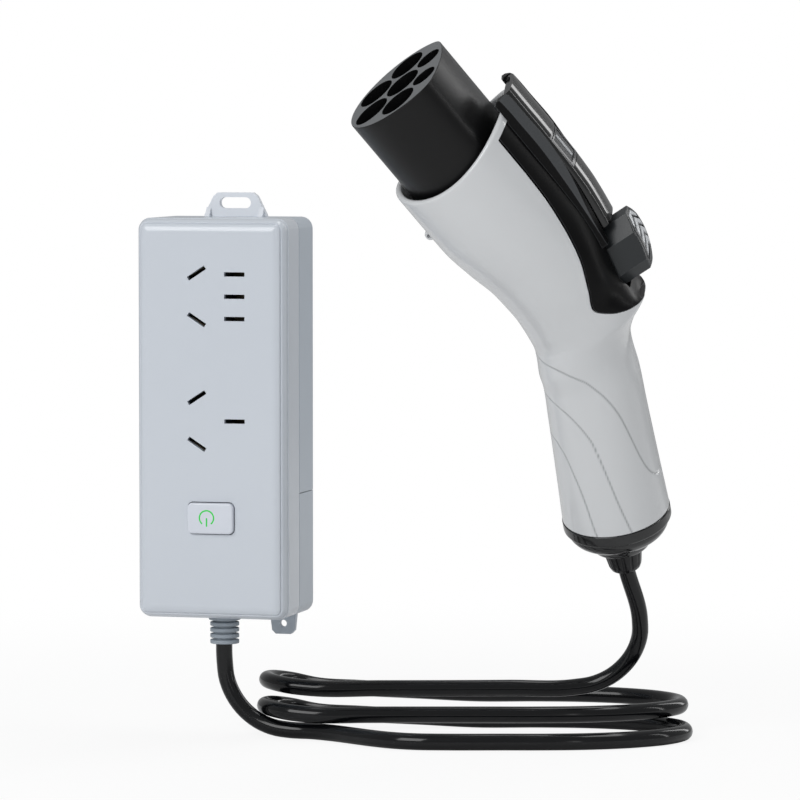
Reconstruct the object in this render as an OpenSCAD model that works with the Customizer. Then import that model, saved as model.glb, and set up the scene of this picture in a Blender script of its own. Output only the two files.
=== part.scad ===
// Vehicle-to-load adapter: a socket box on one cable with a charging gun.
// X runs to the right of the box, Y to its back and Z up. The origin is the middle of the
// hanging slot in the tab above the box. The gun is shown as held in a vehicle's inlet, and
// the slack of the cable lies in turns on the floor.

/* [Socket box] */
// Width of the box
box_w = 65.5; // [62:0.5:72]
// Height of the box
box_h = 168; // [164:1:180]
// Depth of the front cover
cover_d = 22; // [20:1:26]
// Depth of the rear shell
shell_d = 22; // [20:1:26]
// Wall of the box's mouldings
box_wall = 2.4; // [2:0.1:2.8]
// Radius of the box's corners, seen from the front
corner_r = 5; // [4:0.5:6]
// Radius of the soft edge round the front face
front_r = 5.4; // [4.6:0.2:6]
// Step between the soft edge and the cover's side band
band_step = 0.4; // [0.2:0.1:0.8]
// Radius of the edge round the back
back_r = 1.6; // [1:0.2:2.2]
// Height of the rear compartment's own cover
lower_cover_h = 52; // [46:1:58]
// Open line between the rear mouldings
seam_gap = 0.3; // [0.2:0.1:0.5]

/* [Hanging tab and screw ear] */
// Drop from the middle of the hanging slot to the top of the box
hang_drop = 5.8; // [5:0.1:8]
// Distance from the middle of the tab to the box's back
tab_inset = 5; // [4:0.5:7]
// Thickness of the tab and the ear
tab_t = 3; // [2.4:0.2:3.6]
// Width of the tab where it leaves the box
tab_foot_w = 27.4; // [26:0.2:33]
// Width of the tab at its top
tab_top_w = 17.6; // [17:0.2:21]
// Length of the hanging slot
hang_slot_l = 13.8; // [11:0.1:14.2]
// Height of the hanging slot
hang_slot_h = 4.7; // [4.2:0.1:4.8]
// Material above the hanging slot
tab_head = 2; // [1.8:0.2:3]
// Distance of the screw ear from the box's middle
ear_x = 20.9; // [18:0.5:22]
// Width of the screw ear
ear_w = 11.5; // [10:0.5:13]
// Drop of the ear below the box
ear_drop = 9.4; // [7:0.2:10]
// Radius of the hole in the ear
ear_hole_r = 1.55; // [1.3:0.05:2]

/* [Outlets] */
// Length of a pin slot
slot_l = 8.9; // [8:0.1:9.6]
// Height of a pin slot
slot_t = 1.8; // [1.6:0.1:2.2]
// Lean of the two slanted slots
slot_lean = 33; // [28:1:36]
// Distance of the slanted slots left of the box's middle
slanted_x = 5.6; // [5:0.1:7]
// Half the distance between the slanted slots
slanted_half = 9.75; // [9:0.25:10.5]
// Distance of the level slots right of the box's middle
level_x = 10.9; // [9.5:0.1:11.5]
// Distance between neighbouring level slots
level_pitch = 9.3; // [8.5:0.1:10]
// Drop from the top of the box to the middle of the upper outlet
upper_outlet_drop = 32.6; // [32:0.2:36]
// Distance between the middles of the two outlets
outlet_pitch = 52.1; // [50:0.1:54]
// Thickness of a brass contact leaf
leaf_t = 0.6; // [0.5:0.1:0.8]

/* [Power key] */
// Width of the key
key_w = 20; // [18:0.5:22]
// Height of the key
key_h = 13; // [12:0.5:15]
// Corner radius of the key
key_r = 2.2; // [1.5:0.1:3]
// Height of the key above the front face
key_rise = 2; // [1.6:0.1:2.6]
// Inward travel of the key
key_travel = 1.2; // [0.8:0.1:1.4]
// Running gap round the key
key_gap = 0.35; // [0.25:0.05:0.5]
// Drop from the top of the box to the middle of the key
key_drop = 125.4; // [124:0.2:128]
// Radius of the ring in the power sign
sign_r = 3.1; // [2.6:0.1:3.6]
// Width of the power sign's line
sign_line = 0.6; // [0.4:0.05:0.8]

/* [Cable] */
// Diameter of the cable
cable_d = 7; // [6.6:0.1:7.2]
// Clearance of the cable in its grommet, grip and gland
cable_clear = 0.25; // [0.2:0.05:0.4]
// Diameter of the ribbed grommet under the box
grommet_d = 12.3; // [11.5:0.1:13.5]
// Length of the grommet below the box
grommet_l = 12; // [10:0.5:14]

/* [Gun nose] */
// Radius of the plug's nose
nose_r = 26.5; // [26:0.1:27]
// Height of the nose's flat above its axis
nose_flat = 19.8; // [19:0.1:20.4]
// Length of the nose, with what the collar hides
nose_l = 58; // [56:1:60]
// Length of the nose's visible wall
nose_wall_l = 40; // [38:0.5:42]
// Distance between neighbouring power contacts
contact_pitch = 17; // [16.8:0.1:17.2]
// Radius of the mouth round a power contact
power_mouth_r = 7.95; // [7.5:0.05:8.1]
// Radius of the mouth round a signal contact
signal_mouth_r = 5.5; // [5:0.1:5.6]
// Height of the signal contacts above the nose's axis
signal_row = 12.1; // [11.9:0.1:12.3]
// Depth of the mouths before they narrow
mouth_depth = 12; // [11:0.5:14]

/* [Gun shell] */
// Radius of the collar round the nose
collar_r = 31.3; // [31:0.1:32]
// Wall of the gun's shell
gun_wall = 2.6; // [2.2:0.1:2.8]
// Height that the collar's rim swings between its sides and its top
rim_wave = 3.1; // [2:0.1:3.4]
// Lean of the collar's rim towards the latch
rim_lean = 2.75; // [2:0.25:3.5]
// Radius of the handle's end
handle_end_r = 22.7; // [22:0.1:23.4]
// Lean of the handle from the nose's axis
handle_lean = 28.4; // [28:0.1:29.5]
// Depth of the black end ring
end_ring_l = 5.2; // [4.6:0.2:6]
// Depth of the end cup
end_cup_l = 12; // [11:0.5:13]
// Radius of the fluted gland
gland_r = 8.3; // [7.8:0.1:8.8]
// Length of the fluted gland
gland_l = 11; // [10:0.5:13]

/* [Latch] */
// Half the width of the latch lever
lever_half_w = 9; // [8.6:0.1:9.2]
// Wall of the hollow lever
lever_wall = 1.8; // [1.5:0.1:2.1]
// Gap between the lever and the rail beside it
rail_gap = 0.8; // [0.6:0.1:1]
// Thickness of a rail
rail_t = 3.2; // [2.8:0.2:3.6]
// Travel of the latch, in degrees
latch_travel = 5; // [3:0.5:5.5]
// Radius of the latch's pivot pin
pin_r = 1.5; // [1.3:0.1:1.7]
// Clearance of the pin in the lever
pin_clear = 0.06; // [0.04:0.01:0.1]
// Width of the release button
button_w = 18; // [17:0.5:18.5]
// Length of the release button
button_l = 24.8; // [24:0.2:26]
// Radius of the button's domed face
button_dome_r = 36; // [32:1:44]
// Gap round the button in its well
button_gap = 1.2; // [1.1:0.1:1.4]

/* [Hidden] */

round_fn = 48;
fine_fn = 32;
skin = 0.02;

// Places of the box, worked out from its sizes
box_top = -hang_drop;
box_bot = box_top - box_h;
box_mid = (box_top + box_bot) / 2;
y_back = tab_inset;
y_seam = y_back - shell_d;
y_front = y_seam - cover_d;
y_inner = y_front + box_wall;
lower_seam = box_bot + lower_cover_h;
upper_outlet = box_top - upper_outlet_drop;
lower_outlet = upper_outlet - outlet_pitch;
key_z = box_top - key_drop;
key_x = 0.6;
cable_y = y_seam - 1;
cable_bore_r = cable_d / 2 + cable_clear;

// Screws of the box: two at the top, two above the lower seam and two at the bottom
screw_x = box_w / 2 - 8;
screw_rows = [box_top - 9, lower_seam + 7, box_bot + 9];
screw_r = 1.3;
screw_head_r = 2.8;
screw_head_h = 2;
pilot_r = screw_r + 0.05;
boss_r = 3.6;
seat_gap = 0.3;

// Brass parts: depth of the outlet blocks and of the strips behind them
block_d = 12.5;
block_y = y_inner + seat_gap;
strip_y = block_y + block_d + 0.1;
strip_t = 0.8;
board_t = 1.6;
board_y = strip_y + strip_t + 3;
board_w = box_w - 21;
clamp_rise = 9;
clamp_h = 6;
clamp_w = 20;
board_foot = box_bot + clamp_rise + clamp_h + 8;
board_top = screw_rows[1] - boss_r - 1.2;
switch_side = 6;

// The gun's own frame: Z out of the nose, Y to the latch, X to the right-hand shell
gun_at = [95.7, -85, 50.1];
gun_turn = [35.6, 25.15, -82];
handle_foot = [0, -18.9, -149.7];
handle_length = 64.6;
contact_r = 4.2;
signal_r = 2.4;
pivot_y = 29.6;
pivot_z = -78;
pin_half = lever_half_w + rail_gap + 1.8;
floor_y = 26;
// The button stands across the nose's axis, and its face falls towards the handle
button_lean = 11.5;
button_face_y = 38.8;
button_z = -109.6;
button_foot_y = 20;

// Sections of the gun's shell: along the axis and off it at the belly, the same at the back,
// half width, squareness, half angle of the latch opening and share of the rim's wave
sections = [
    [-34.9, -collar_r, -34.9, collar_r, collar_r, 2, 0, 1],
    [-38.1, -collar_r, -38.1, collar_r, collar_r, 2, 0, 1],
    [-38.4, -collar_r, -38.4, collar_r, collar_r, 2, 41, 1],
    [-50, -collar_r, -50, collar_r, collar_r, 2, 41, 0],
    [-65, -31.2, -65, 31.3, 31, 2, 42, 0],
    [-80, -29.2, -80, 31, 30, 2, 46, 0],
    [-94, -26.4, -96, 30.2, 28.5, 2.05, 54, 0],
    [-106, -26, -110, 29.2, 26.8, 2.1, 66, 0],
    [-114, -26.8, -119, 27.8, 25.2, 2.15, 73, 0],
    [-119, -27.6, -125, 26.5, 24.2, 2.2, 62, 0],
    [-122, -28.2, -128.5, 25.3, 23.6, 2.2, 46, 0],
    [-124.5, -29, -130.6, 24, 23.2, 2.2, 25, 0],
    [-126.5, -29.9, -132.2, 22, 22.9, 2.25, 0, 0],
    [-130, -31.8, -136, 14.6, 22.2, 2.25, 0, 0],
    [-134.5, -34.4, -143, 6.4, 21.4, 2.3, 0, 0],
    handle_section(0, 20.2, 20.4, 2.3),
    handle_section(0.25, 20.6, 20.6, 2.3),
    handle_section(0.5, 21.2, 21.2, 2.25),
    handle_section(0.75, 21.9, 21.9, 2.15),
    handle_section(1, handle_end_r, handle_end_r, 2)
];
side_steps = 18;

// Route of the cable in a frame turned with the view: across, away and up
lay_turn = 15;
floor_z = -225.5;
run_z = floor_z + cable_d / 2;
run_away = -63;
turn_shift = 31;
turn_rise = cable_d + 0.4;
loop_across = 129.6;
loop_reach = 60;
loop_half = 36.5;
left_across = 33.2;
left_r = 21;
// Share of a turn's rise that the left-hand loop has made at each of its angles
left_rise = [[90, 0.5], [120, 0.85], [150, 1.1], [180, 1.2], [210, 1.2], [240, 1.1], [270, 1]];
box_lead = [[-4.7, -17.4, -160], [-4.7, -17.4, -176], [-4.7, -17.4, -193.5], [-3.8, -17.6, -200.9],
    [-1, -18.3, -207.8], [3.4, -19.4, -213.7], [9.1, -20.8, -218.2], [15.8, -22.5, -221], [23, -24.3, -222],
    [32, -27.9, -222], [41.6, -34.8, -222], [50, -43.2, -222], [58.1, -51.3, -222], [66, -57.5, -222],
    [76, -61.8, -222]];
gun_lead = [[60, -0.9, -207.2], [88, -0.6, -207.2], [116, -0.2, -207.1], [143.9, 0.2, -206.8],
    [151.8, 0.1, -205.5], [159.1, -1, -202.2], [165.1, -3.1, -197], [169.3, -5.8, -190.6],
    [171.4, -8.8, -183.4], [171.2, -12.1, -176]];

// Shapes that several pieces use

function rounded(w, h, r, steps = 6) = [
    for (corner = [0:3], i = [0:steps])
        let (a = 90 * corner + 90 * i / steps,
            sx = (corner == 0 || corner == 3) ? 1 : -1,
            sy = corner < 2 ? 1 : -1)
            [sx * (w / 2 - r) + r * cos(a), sy * (h / 2 - r) + r * sin(a)]
];

// An outline in X and Z, between two depths
module slab(y0, y1) {
    translate([0, y1, 0]) rotate([90, 0, 0]) linear_extrude(y1 - y0) children();
}

module box_outline(inset = 0) {
    translate([0, box_mid])
        polygon(rounded(box_w - 2 * inset, box_h - 2 * inset, max(corner_r - inset, 0.8)));
}

module along_y(x, z, y0, y1, r) {
    translate([x, y1, z]) rotate([90, 0, 0]) cylinder(r = r, h = y1 - y0, $fn = fine_fn);
}

module at_screws() {
    for (x = [-screw_x, screw_x], z = screw_rows) translate([x, 0, z]) children();
}

// Places and leans of the pin slots of one outlet: the upper one has three level slots
module at_slots(outlet_z, levels) {
    for (side = [-1, 1])
        translate([-slanted_x, 0, outlet_z + side * slanted_half])
            rotate([0, -side * slot_lean, 0]) children();
    for (i = levels) translate([level_x, 0, outlet_z + i * level_pitch]) children();
}

module in_gun() {
    translate(gun_at) rotate(gun_turn) children();
}

// The handle's end: Z runs on out of the handle
module at_handle_end() {
    translate(handle_foot + handle_length * [0, -sin(handle_lean), -cos(handle_lean)])
        rotate([180 - handle_lean, 0, 0]) children();
}

function handle_section(share, half_h, half_w, square) =
    let (along = share * handle_length,
        z = handle_foot[2] - along * cos(handle_lean),
        y = handle_foot[1] - along * sin(handle_lean))
        [z + half_h * sin(handle_lean), y - half_h * cos(handle_lean),
            z - half_h * sin(handle_lean), y + half_h * cos(handle_lean), half_w, square, 0, 0];

function bent(x, power) = sign(x) * pow(abs(x), power);

// A point on a section of the gun: a is 0 at the back and 180 at the belly
function on_section(s, a, inset) =
    let (half = [s[3] - s[1], s[2] - s[0]] / 2,
        size = norm(half),
        c = bent(cos(a), 2 / s[5]),
        w = bent(sin(a), 2 / s[5]),
        wave = s[7] * (rim_lean * cos(a) + rim_wave * cos(2 * a)),
        mid = [s[1] + s[3], s[0] + s[2]] / 2,
        p = mid + half * c * (size - inset) / size)
        [(s[4] - inset) * w, p[0], p[1] + wave];

// One ring of the right-hand shell's wall, from the opening round to the belly and back inside
function wall_ring(s) = concat(
    [for (i = [0:side_steps]) on_section(s, s[6] + (180 - s[6]) * i / side_steps, 0)],
    [for (i = [side_steps:-1:0]) on_section(s, s[6] + (180 - s[6]) * i / side_steps, gun_wall)]);

// A skin over rings of points, closed at both ends. A wall's ring runs along its outside and
// back along its inside, and its ends are closed by a strip between the two.
module rings(list, flip = false, wall = false) {
    n = len(list[0]);
    m = len(list);
    last = (m - 1) * n;
    ends = wall
        ? concat(
            [for (i = [0:n / 2 - 2]) each [[n - 1 - i, i + 1, i], [n - 1 - i, n - 2 - i, i + 1]]],
            [for (i = [0:n / 2 - 2])
                each [last * [1, 1, 1] + [i, i + 1, n - 1 - i], last * [1, 1, 1] + [i + 1, n - 2 - i, n - 1 - i]]])
        : [[for (i = [n - 1:-1:0]) i], [for (i = [0:n - 1]) last + i]];
    faces = concat(
        [for (k = [0:m - 2], i = [0:n - 1])
            [k * n + i, k * n + (i + 1) % n, (k + 1) * n + (i + 1) % n]],
        [for (k = [0:m - 2], i = [0:n - 1])
            [k * n + i, (k + 1) * n + (i + 1) % n, (k + 1) * n + i]],
        ends);
    polyhedron(
        points = [for (r = list) each r],
        faces = flip ? [for (f = faces) [for (i = [len(f) - 1:-1:0]) f[i]]] : faces);
}

// Socket box

module soft_front() {
    hull() {
        for (a = [0:15:90])
            slab(y_front + front_r * (1 - sin(a)), y_front + front_r * (1 - sin(a)) + skin)
                box_outline(band_step + front_r * (1 - cos(a)));
    }
}

module key_hole(grow) {
    translate([key_x, key_z])
        polygon(rounded(key_w + 2 * grow, key_h + 2 * grow, key_r + grow, 5));
}

module front_cover() {
    color("#c6ced8")
        difference() {
            union() {
                difference() {
                    union() {
                        soft_front();
                        slab(y_front + front_r, y_seam) box_outline();
                    }
                    slab(y_inner, y_seam + 1) box_outline(box_wall);
                }
                at_screws() along_y(0, 0, y_inner - 1, y_seam - seat_gap, boss_r);
                // Posts that carry the circuit board
                for (x = [-1, 1])
                    along_y(key_x + x * (board_w / 2 - 5), key_z, y_inner - 1, board_y - 0.1, 3);
                // Rest for the cable clamp
                translate([-clamp_w / 2, y_inner - 1, box_bot + clamp_rise])
                    cube([clamp_w, cable_y - cable_bore_r - 3 - seat_gap - y_inner + 1, clamp_h]);
            }
            at_screws() along_y(0, 0, y_inner, y_seam, pilot_r);
            at_slots(upper_outlet, [-1, 0, 1]) slot_cut(slot_l, slot_t, y_front - 1, y_inner + 1);
            at_slots(lower_outlet, [0]) slot_cut(slot_l, slot_t, y_front - 1, y_inner + 1);
            slab(y_front - 1, y_inner + 1) key_hole(key_gap);
            translate([0, cable_y, box_bot - 1]) cylinder(r = 4.8, h = box_wall + 2, $fn = fine_fn);
        }
}

module slot_cut(l, t, y0, y1) {
    translate([-l / 2, y0, -t / 2]) cube([l, y1 - y0, t]);
}

// Both rear mouldings, before they are parted at the lower seam
module rear_tray() {
    difference() {
        union() {
            difference() {
                union() {
                    slab(y_seam, y_back - back_r) box_outline();
                    hull()
                        for (a = [0:30:90])
                            slab(y_back - back_r * (1 - sin(a)) - skin, y_back - back_r * (1 - sin(a)))
                                box_outline(back_r * (1 - cos(a)));
                }
                slab(y_seam - 1, y_back - box_wall) box_outline(box_wall);
            }
            at_screws() along_y(0, 0, y_seam + seat_gap, y_back - 1, boss_r);
        }
        at_screws() along_y(0, 0, y_seam, y_back + 1, screw_r + 0.2);
        at_screws() along_y(0, 0, y_back - screw_head_h - 0.4, y_back + 1, screw_head_r + 0.2);
        translate([0, cable_y, box_bot - 1]) cylinder(r = 4.8, h = box_wall + 2, $fn = fine_fn);
    }
}

module hanging_tab() {
    top = hang_slot_h / 2 + tab_head;
    difference() {
        slab(-tab_t / 2, tab_t / 2)
            polygon([[-tab_foot_w / 2, box_top - 1], [tab_foot_w / 2, box_top - 1],
                [tab_foot_w / 2, box_top + 0.6], [tab_top_w / 2 + 0.9, top - 1.5],
                [tab_top_w / 2 - 1, top], [-tab_top_w / 2 + 1, top],
                [-tab_top_w / 2 - 0.9, top - 1.5], [-tab_foot_w / 2, box_top + 0.6]]);
        slab(-tab_t, tab_t)
            polygon(rounded(hang_slot_l, hang_slot_h, hang_slot_h / 2 - 0.01, 10));
    }
    // Small webs at the tab's feet
    for (x = [-tab_foot_w / 2 + 1, tab_foot_w / 2 - 3])
        translate([x, 0, 0]) rotate([90, 0, 90])
            linear_extrude(2)
                polygon([[-tab_t / 2 + 0.2, box_top - 1], [-tab_t / 2 + 0.2, box_top + 4],
                    [-tab_t / 2 - 3, box_top], [-tab_t / 2 - 3, box_top - 1]]);
}

module rear_shell() {
    color("#9aa6b2")
        union() {
            intersection() {
                rear_tray();
                translate([-box_w, y_seam - 1, lower_seam + seam_gap / 2])
                    cube([2 * box_w, shell_d + 2, box_h]);
            }
            hanging_tab();
        }
}

module rear_lower_cover() {
    foot = box_bot - ear_drop;
    color("#9aa6b2")
        difference() {
            union() {
                intersection() {
                    rear_tray();
                    translate([-box_w, y_seam - 1, lower_seam - seam_gap / 2 - box_h])
                        cube([2 * box_w, shell_d + 2, box_h]);
                }
                slab(-tab_t / 2, tab_t / 2)
                    polygon([[ear_x - ear_w / 2 - 1.5, box_bot + 1], [ear_x - ear_w / 2 - 1.5, box_bot],
                        [ear_x - ear_w / 2, box_bot - 1.5], [ear_x - ear_w / 2 + 0.8, foot + 1.6],
                        [ear_x - ear_w / 2 + 2.4, foot], [ear_x + ear_w / 2 - 2.4, foot],
                        [ear_x + ear_w / 2 - 0.8, foot + 1.6], [ear_x + ear_w / 2, box_bot],
                        [ear_x + ear_w / 2, box_bot + 1]]);
            }
            along_y(ear_x, box_bot - ear_drop / 2 - 0.2, -tab_t, tab_t, ear_hole_r);
        }
}

module cover_screws() {
    color("#8d9194")
        at_screws() {
            difference() {
                along_y(0, 0, y_back - screw_head_h - 0.3, y_back - 0.3, screw_head_r);
                translate([-1.8, y_back - 1.1, -0.4]) cube([3.6, 2, 0.8]);
                translate([-0.4, y_back - 1.1, -1.8]) cube([0.8, 2, 3.6]);
            }
            along_y(0, 0, y_seam - 9, y_back - screw_head_h - 0.3, screw_r);
        }
}

module outlet_block(outlet_z, levels) {
    top = slanted_half + slot_l / 2 + 1;
    color("#2b2d30")
        difference() {
            translate([-slanted_x - 7.5, block_y, outlet_z - top])
                cube([slanted_x + level_x + 14, block_d, 2 * top]);
            at_slots(outlet_z, levels) slot_cut(slot_l + 0.4, slot_t + 0.4, block_y - 1, block_y + 2);
            at_slots(outlet_z, levels)
                slot_cut(slot_l + 0.8, slot_t + 2 * leaf_t + 1, block_y + 1.2, block_y + block_d + 1);
        }
}

module outlet_block_upper() {
    outlet_block(upper_outlet, [-1, 0, 1]);
}

module outlet_block_lower() {
    outlet_block(lower_outlet, [0]);
}

// A pair of sprung brass leaves on the strip behind one slot
module leaves() {
    for (side = [-1, 1])
        translate([-slot_l / 2 + 0.5, block_y + 2, side * (slot_t / 2 + 0.1) - (side < 0 ? leaf_t : 0)])
            cube([slot_l - 1, strip_y - block_y - 2 + 0.1, leaf_t]);
    translate([-slot_l / 2 + 0.5, strip_y, -slot_t / 2 - 0.1 - leaf_t])
        cube([slot_l - 1, strip_t, slot_t + 0.2 + 2 * leaf_t]);
}

module strip_bar(x0, z0, x1, z1) {
    translate([min(x0, x1), strip_y, min(z0, z1)])
        cube([abs(x1 - x0), strip_t, abs(z1 - z0)]);
}

module slanted_leaves(outlet_z, side) {
    translate([-slanted_x, 0, outlet_z + side * slanted_half])
        rotate([0, -side * slot_lean, 0]) leaves();
}

module level_leaves(z) {
    translate([level_x, 0, z]) leaves();
}

module live_strip() {
    z = upper_outlet + slanted_half;
    low = lower_outlet + slanted_half;
    color("#c79a4b") {
        slanted_leaves(upper_outlet, 1);
        level_leaves(upper_outlet + level_pitch);
        slanted_leaves(lower_outlet, 1);
        strip_bar(-slanted_x, z - 1.2, level_x, z + 1.2);
        strip_bar(-slanted_x - 7.2, low - 1.2, -slanted_x - 4.6, z + 1.2);
        strip_bar(-slanted_x - 7.2, z - 1.2, -slanted_x, z + 1.2);
        strip_bar(-slanted_x - 7.2, low - 1.2, -slanted_x, low + 1.2);
    }
}

module neutral_strip() {
    z = upper_outlet - slanted_half;
    low = lower_outlet - slanted_half;
    color("#c79a4b") {
        slanted_leaves(upper_outlet, -1);
        level_leaves(upper_outlet - level_pitch);
        slanted_leaves(lower_outlet, -1);
        strip_bar(-slanted_x, z - 1.2, level_x, z + 1.2);
        strip_bar(0, low - 1.2, 2.6, z + 1.2);
        strip_bar(-slanted_x, low - 1.2, 2.6, low + 1.2);
    }
}

module earth_strip() {
    edge = level_x + slot_l / 2;
    color("#c79a4b") {
        level_leaves(upper_outlet);
        level_leaves(lower_outlet);
        for (z = [lower_outlet, upper_outlet]) strip_bar(level_x, z - 1.2, edge + 1, z + 1.2);
        strip_bar(edge, lower_outlet - 1.2, edge + 2.6, upper_outlet + 1.2);
    }
}

module circuit_board() {
    color("#2f6b46")
        translate([key_x - board_w / 2, board_y, board_foot]) cube([board_w, board_t, board_top - board_foot]);
}

module key_switch() {
    color("#202224")
        translate([key_x, board_y, key_z]) {
            translate([-switch_side / 2, -3.6, -switch_side / 2]) cube([switch_side, 3.6, switch_side]);
            rotate([90, 0, 0]) cylinder(r = 1.7, h = board_y - key_foot_y - key_travel - 0.3, $fn = fine_fn);
        }
}

// The key's inner end at rest
key_foot_y = board_y - 5.6 - key_travel;

module power_key() {
    face_y = y_front - key_rise;
    color("#d3d6d6")
        difference() {
            union() {
                hull() {
                    slab(face_y + 0.8, y_inner + key_travel) key_hole(0);
                    slab(face_y, face_y + skin) key_hole(-0.8);
                }
                // Flange behind the window keeps the key in
                slab(y_inner + 0.4, y_inner + 1.8) key_hole(1.6);
                along_y(key_x, key_z, y_inner + 1, key_foot_y, 2.6);
            }
            slab(face_y - 1, face_y + 0.35) power_sign_outline(0.05);
        }
}

// A ring open at its foot with a bar in the opening
module power_sign_outline(grow) {
    at = [key_x - 1.4, key_z + 0.2];
    gap = 38;
    out = sign_r + sign_line / 2 + grow;
    in = sign_r - sign_line / 2 - grow;
    translate(at) {
        polygon(concat(
            [for (i = [0:24]) let (a = -90 + gap + (360 - 2 * gap) * i / 24) out * [cos(a), sin(a)]],
            [for (i = [24:-1:0]) let (a = -90 + gap + (360 - 2 * gap) * i / 24) in * [cos(a), sin(a)]]));
        translate([-sign_line / 2 - grow, -sign_r - 0.5 - grow])
            square([sign_line + 2 * grow, sign_r + 0.5 + 2 * grow]);
    }
}

module power_sign() {
    face_y = y_front - key_rise;
    color("#3fcf55")
        slab(face_y - 0.02, face_y + 0.33) power_sign_outline(0);
}

// A ribbed grommet with a neck in the box's wall and a flange inside
module grommet() {
    r = grommet_d / 2;
    top = box_bot - 0.1;
    pitch = (grommet_l - 2) / 4;
    color("#a3abb3")
        translate([0, cable_y, 0])
            difference() {
                union() {
                    translate([0, 0, box_bot + box_wall + 0.1]) cylinder(r = r, h = 2.4, $fn = round_fn);
                    translate([0, 0, box_bot - grommet_l]) cylinder(r = 4.7, h = grommet_l + box_wall + 1, $fn = round_fn);
                    translate([0, 0, top - 2]) cylinder(r = r + 0.6, h = 2, $fn = round_fn);
                    for (i = [1:4])
                        translate([0, 0, top - 2 - i * pitch]) cylinder(r = r, h = pitch - 0.8, $fn = round_fn);
                }
                translate([0, 0, box_bot - grommet_l - 1]) cylinder(r = cable_bore_r, h = grommet_l + 10, $fn = round_fn);
            }
}

module cable_clamp() {
    color("#2b2d30")
        difference() {
            translate([-clamp_w / 2, cable_y - cable_bore_r - 3, box_bot + clamp_rise])
                cube([clamp_w, 2 * cable_bore_r + 6, clamp_h]);
            translate([0, cable_y, box_bot + clamp_rise - 1])
                cylinder(r = cable_bore_r, h = clamp_h + 2, $fn = round_fn);
        }
}

// Cable

function turned(p) = [p[0] * cos(lay_turn) - p[1] * sin(lay_turn),
    p[0] * sin(lay_turn) + p[1] * cos(lay_turn), p[2]];

// One turn: the front run, the loop on the right, the back run and the loop on the left
function lay_points(turn) =
    let (away = run_away + turn * turn_shift,
        z = run_z + turn * turn_rise,
        back = away + 2 * loop_half)
        concat(
            [for (x = [turn == 0 ? 88 : 56:24:loop_across - 10]) [x, away, z]],
            [for (a = [-90:20:90]) [loop_across + loop_reach * cos(a), away + loop_half * (1 + sin(a)), z]],
            [for (i = [0:2]) [loop_across - 26 * (i + 1), back, z + turn_rise * 0.17 * i]],
            [for (p = left_rise)
                [left_across + left_r * cos(p[0]), back - left_r + left_r * sin(p[0]), z + turn_rise * p[1]]]);

gun_lead_end = gun_point([0, -sin(handle_lean), -cos(handle_lean)] * (handle_length + end_ring_l + end_cup_l + gland_l)
    + handle_foot);
gun_lead_in = gun_point([0, -sin(handle_lean), -cos(handle_lean)] * (handle_length - 8) + handle_foot);

// A point of the gun's frame in the part's frame
function gun_point(p) =
    let (a = gun_turn[0], b = gun_turn[1], c = gun_turn[2],
        q = [p[0], p[1] * cos(a) - p[2] * sin(a), p[1] * sin(a) + p[2] * cos(a)],
        r = [q[0] * cos(b) + q[2] * sin(b), q[1], -q[0] * sin(b) + q[2] * cos(b)])
        gun_at + [r[0] * cos(c) - r[1] * sin(c), r[0] * sin(c) + r[1] * cos(c), r[2]];

route = concat(
    [for (p = box_lead) turned(p)],
    [for (turn = [0:1]) for (p = lay_points(turn)) turned(p)],
    [for (p = gun_lead) turned(p)],
    [gun_lead_end, gun_lead_in]);

module cable() {
    sides = 10;
    n = len(route);
    function heading(i) = let (d = route[min(i + 1, n - 1)] - route[max(i - 1, 0)]) d / norm(d);
    color("#151617")
        rings([for (i = [0:n - 1])
            let (t = heading(i),
                s = cross(t, [0.2, -0.9, 0.35]),
                e = s / norm(s),
                f = cross(t, e))
                [for (k = [0:sides - 1])
                    route[i] + cable_d / 2 * (e * cos(360 * k / sides) + f * sin(360 * k / sides))]], true);
}

// Gun

// The right-hand wall; the left-hand one is its mirror
module shell_wall() {
    rings([for (s = sections) wall_ring(s)], true, true);
}

// Screw towers between the shells: along the axis, off it and half width of the shell there
towers = [[-74, -17, 25], [-128, -10, 21.5], [-178, -33, 19.8]];
tower_r = 3.4;

module shell_half(head_side) {
    difference() {
        union() {
            shell_wall();
            // Lug for the dust cap's tether, half on each shell
            translate([0, -collar_r - 1.2, -59.5]) rotate([0, 90, 0]) cylinder(r = 2.3, h = 2.2, $fn = fine_fn);
            for (t = towers)
                translate([0, t[1], t[0]]) rotate([0, 90, 0]) cylinder(r = tower_r, h = t[2] - 1, $fn = fine_fn);
        }
        translate([-1, -collar_r - 1.8, -59.5]) rotate([0, 90, 0]) cylinder(r = 0.9, h = 5, $fn = fine_fn);
        for (t = towers)
            translate([0, t[1], t[0]]) rotate([0, 90, 0]) {
                translate([0, 0, -1])
                    cylinder(r = head_side ? screw_r + 0.2 : pilot_r, h = head_side ? 40 : 13, $fn = fine_fn);
                if (head_side) translate([0, 0, t[2] - 6]) cylinder(r = screw_head_r + 0.2, h = 30, $fn = fine_fn);
            }
    }
}

module gun_shell_right() {
    color("#c9cccd") in_gun() shell_half(false);
}

module gun_shell_left() {
    color("#c9cccd") in_gun() mirror([1, 0, 0]) shell_half(true);
}

module shell_screws() {
    color("#8d9194")
        in_gun()
            for (t = towers)
                translate([0, t[1], t[0]]) rotate([0, -90, 0]) {
                    difference() {
                        translate([0, 0, t[2] - 6]) cylinder(r = screw_head_r, h = screw_head_h, $fn = fine_fn);
                        translate([-1.8, -0.4, t[2] - 5]) cube([3.6, 0.8, 4]);
                        translate([-0.4, -1.8, t[2] - 5]) cube([0.8, 3.6, 4]);
                    }
                    translate([0, 0, -10]) cylinder(r = screw_r, h = t[2] + 4, $fn = fine_fn);
                }
}

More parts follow.
